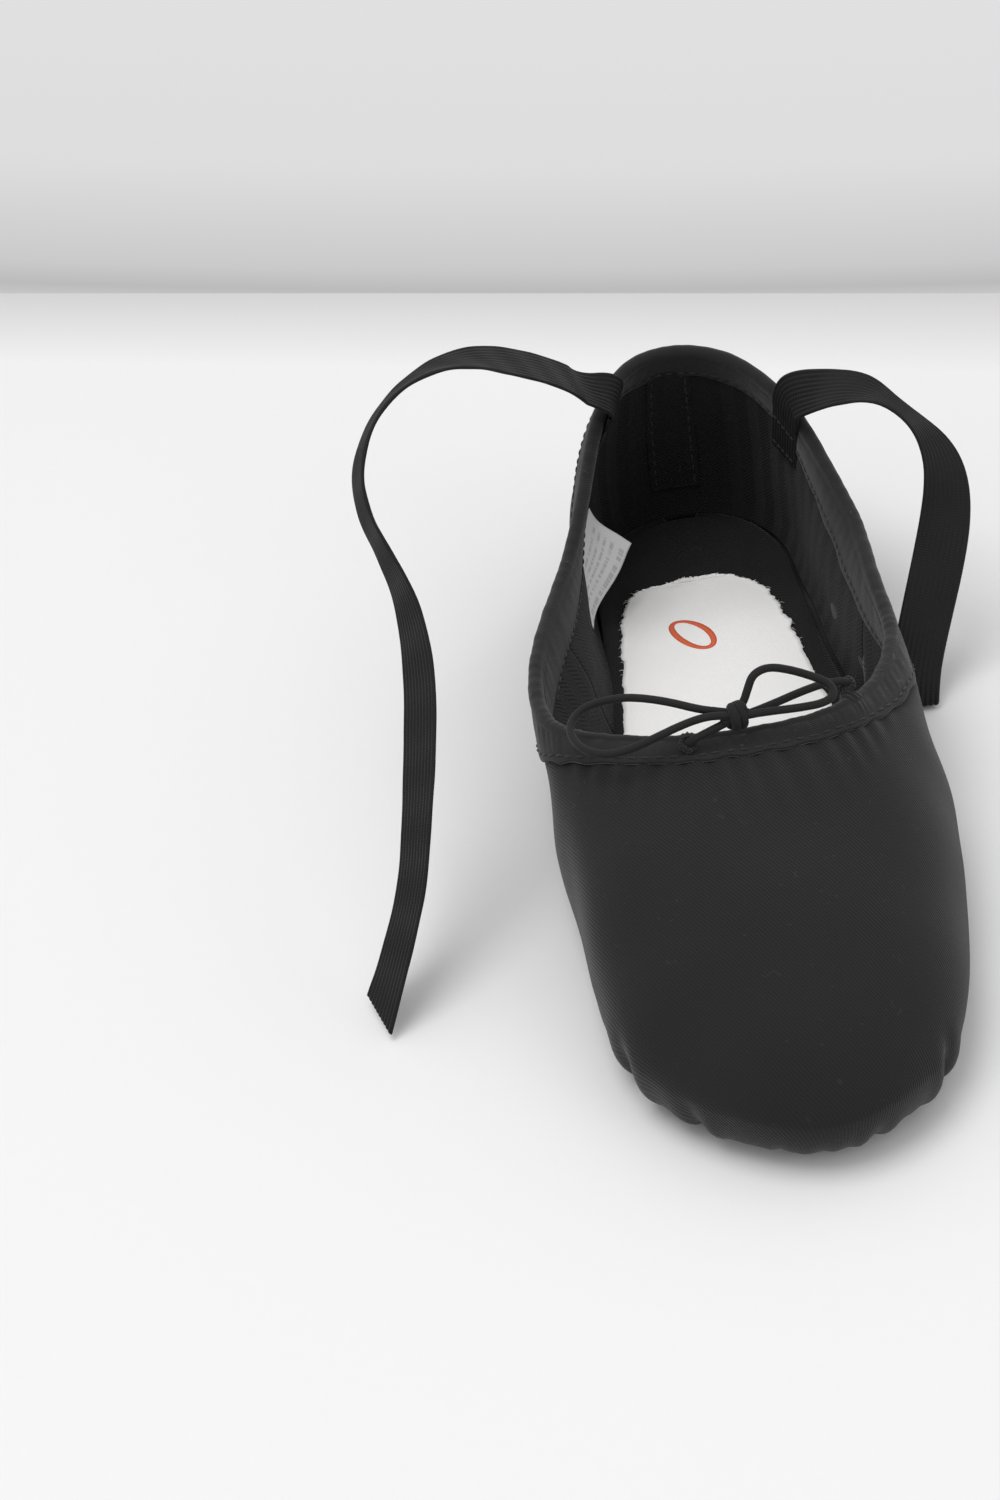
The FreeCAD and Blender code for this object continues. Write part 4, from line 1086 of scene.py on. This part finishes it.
# gathered eyelets where the cord leaves the binding
for nm, c, d in (("eyelet_lateral", (22.9, -21.5, 38.3), (-.55, -.25, .8)), ("eyelet_medial", (-11.9, -35.2, 38.9), (.2, -.55, .8))):
    d = unit(np.array(d, float))
    a1 = unit(np.cross(d, [0, 1.0, .2]))
    a2 = np.cross(d, a1)
    t = np.linspace(0, 2 * np.pi, 73)[:-1]
    R1 = 1.35 + .06 * np.sin(t * 5)
    V_, F = [], []
    ring = 12
    for i, q in enumerate(t):
        cc = np.array(c) + a1 * math.cos(q) * R1[i] + a2 * math.sin(q) * R1[i] + d * (.25 * math.sin(2 * q))
        o_ = unit(a1 * math.cos(q) + a2 * math.sin(q))
        rad = .60 + .07 * math.sin(q * 14)
        for j in range(ring):
            w = 2 * math.pi * j / ring
            V_.append(cc + (o_ * math.cos(w) + d * math.sin(w) * 1.15) * rad)
    for i in range(72):
        for j in range(ring):
            i2, j2 = (i + 1) % 72, (j + 1) % ring
            F.append((i * ring + j, i2 * ring + j, i2 * ring + j2, i * ring + j2))
    o = paint(make_obj(nm, M(V_), F, np.zeros((len(V_), 2)) + np.arange(len(V_))[:, None] * 3e-5), "binding")
    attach(o, "forefoot")

# ------------------------------------------------------------------ care label
LABEL = [((-26.6, 60.4, 32.6), (.20, .97, .13)), ((-26.2, 60.8, 29.4), (.235, .96, .14)), ((-24.9, 61.6, 26.0), (.29, .94, .16)), ((-23.2, 62.4, 22.6), (.36, .91, .18)), ((-21.6, 63.2, 19.2), (.42, .88, .2))]
PL, PE = nurbs_points([s[0] for s in LABEL], 14), nurbs_points([tuple(np.array(s[0]) + unit(np.array(s[1], float)) * 15.0) for s in LABEL], 14)
T = unit(np.gradient(PL, axis=0))
Uv = unit(PE - PL)
Nv = unit(np.cross(T, Uv))
q = np.linspace(-.5, .5, 60)
f = np.linspace(0, 1, len(PL))
curl = .9 * np.sin(q * 7.0 + .6)[None] * f[:, None] + 1.6 * (f[:, None] ** 2) * (q[None] * 2) ** 2
mid = PL[:, None] + Uv[:, None] * (q * 30.0)[None, :, None] + Nv[:, None] * curl[..., None]
uv = np.stack(np.meshgrid(np.linspace(0, .0148, len(PL)), (q + .5) * .030, indexing="ij"), -1)[..., ::-1]
label = paint(thick("care_label_satin", M(mid + Nv[:, None] * .12), M(mid - Nv[:, None] * .12), uv), "label")
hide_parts("care_label")
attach(label, "heel")

# ------------------------------------------------------------------ carried-over CAD nodes (inside the sole)
for nm, key in (("insole_board_forefoot", "board"), ("insole_board_heel", "board"), ("foam_forefoot", "foam"), ("foam_heel", "foam")):
    paint(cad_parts[nm], key)

# ------------------------------------------------------------------ stage and light
def ray(px, py):
    d = CAMR.T @ np.array([(px - 500) / 2514.932, (py - 750) / 2514.932, 1.0])
    return d / np.linalg.norm(d)


def on_floor(px, py):
    d = ray(px, py)
    return CAMC + d * (-CAMC[2] / d[2])


a, b = on_floor(0, 293), on_floor(1000, 293)
along = unit((b - a) * [1, 1, 0])
front = np.array([along[1], -along[0], 0])
m_ = (a + b) / 2
Vf = [m_ - along * 6, m_ + along * 6, m_ + along * 6 + front * 8, m_ - along * 6 + front * 8]
floor = make_obj("studio_floor", [(v[0], v[1], -0.0001) for v in Vf], [(0, 1, 2, 3)], None, False, False)
if floor.data.polygons[0].normal.z < 0:
    floor.data.flip_normals()
FN = Nodes("floor_paper")
# painted shade: the floor colour darkens from about 0.80 to 0.60 over the last 50 mm before its far edge, where it
# meets the backdrop; elsewhere it has only a faint random tone
ox_ = FN.n("ShaderNodeVectorMath", operation="DOT_PRODUCT")
FN.t.links.new(FN.uv.outputs["Object"], ox_.inputs[0])
ox_.inputs[1].default_value = tuple(front)
dist = FN.math("SUBTRACT", ox_.outputs["Value"], float(np.dot(front, m_)))
g = FN.noise(300.0, 2.0)
FN.set(Base_Color=FN.mixc(FN.math("DIVIDE", dist, 0.05, clamp=True), (0.60, 0.60, 0.60), FN.mixc(g, (0.80, 0.80, 0.80), (0.81, 0.81, 0.81))), Normal=FN.bump(g, 0.00002, .3))
FN.b.inputs["Roughness"].default_value = 0.7
FN.b.inputs["Specular IOR Level"].default_value = 0.1
floor.data.materials.append(FN.m)

world = bpy.data.worlds.new("studio")
scene.world = world
world.use_nodes = True
wt = world.node_tree
wt.nodes.clear()
wo, wb = wt.nodes.new("ShaderNodeOutputWorld"), wt.nodes.new("ShaderNodeBackground")
# painted shade: the backdrop colour follows the view direction's height in the camera frame; it is 0.80 below the
# horizon, drops to a dark band of 0.50 just above it where the wall meets the floor, and brightens upwards to about
# 0.79
tc, dp, rp = wt.nodes.new("ShaderNodeTexCoord"), wt.nodes.new("ShaderNodeVectorMath"), wt.nodes.new("ShaderNodeValToRGB")
dp.operation = "DOT_PRODUCT"
dp.inputs[1].default_value = tuple(-CAMR[1])
wt.links.new(tc.outputs["Generated"], dp.inputs[0])
wt.links.new(dp.outputs["Value"], rp.inputs[0])
el = rp.color_ramp.elements
for _ in range(4):
    el.new(.5)
for e, (pos, v) in zip(el, ((0.0, .80), (.170, .80), (.178, .50), (.188, .62), (.225, .76), (.30, .79))):
    e.position = pos
    e.color = (v, v * .995, v * .998, 1)
wt.links.new(rp.outputs[0], wb.inputs[0])
wb.inputs[1].default_value = 0.96
wt.links.new(wb.outputs[0], wo.inputs[0])


def area(name, loc, target, size, power, color=(1, 1, 1)):
    ld = bpy.data.lights.new(name, "AREA")
    ld.shape = "DISK"
    ld.size = size
    ld.energy = power
    ld.color = color
    o = bpy.data.objects.new(name, ld)
    o.location = loc
    o.rotation_euler = (Vector(target) - Vector(loc)).to_track_quat("-Z", "Y").to_euler()
    scene.collection.objects.link(o)


area("key_softbox", (-0.35, -0.10, 1.30), (0, 0, 0), 0.9, 7.2)
area("fill_softbox", (0.9, -0.9, 0.7), (0, 0, 0.02), 0.8, 2.0)

scene.view_settings.view_transform = "Standard"
scene.view_settings.look = "None"
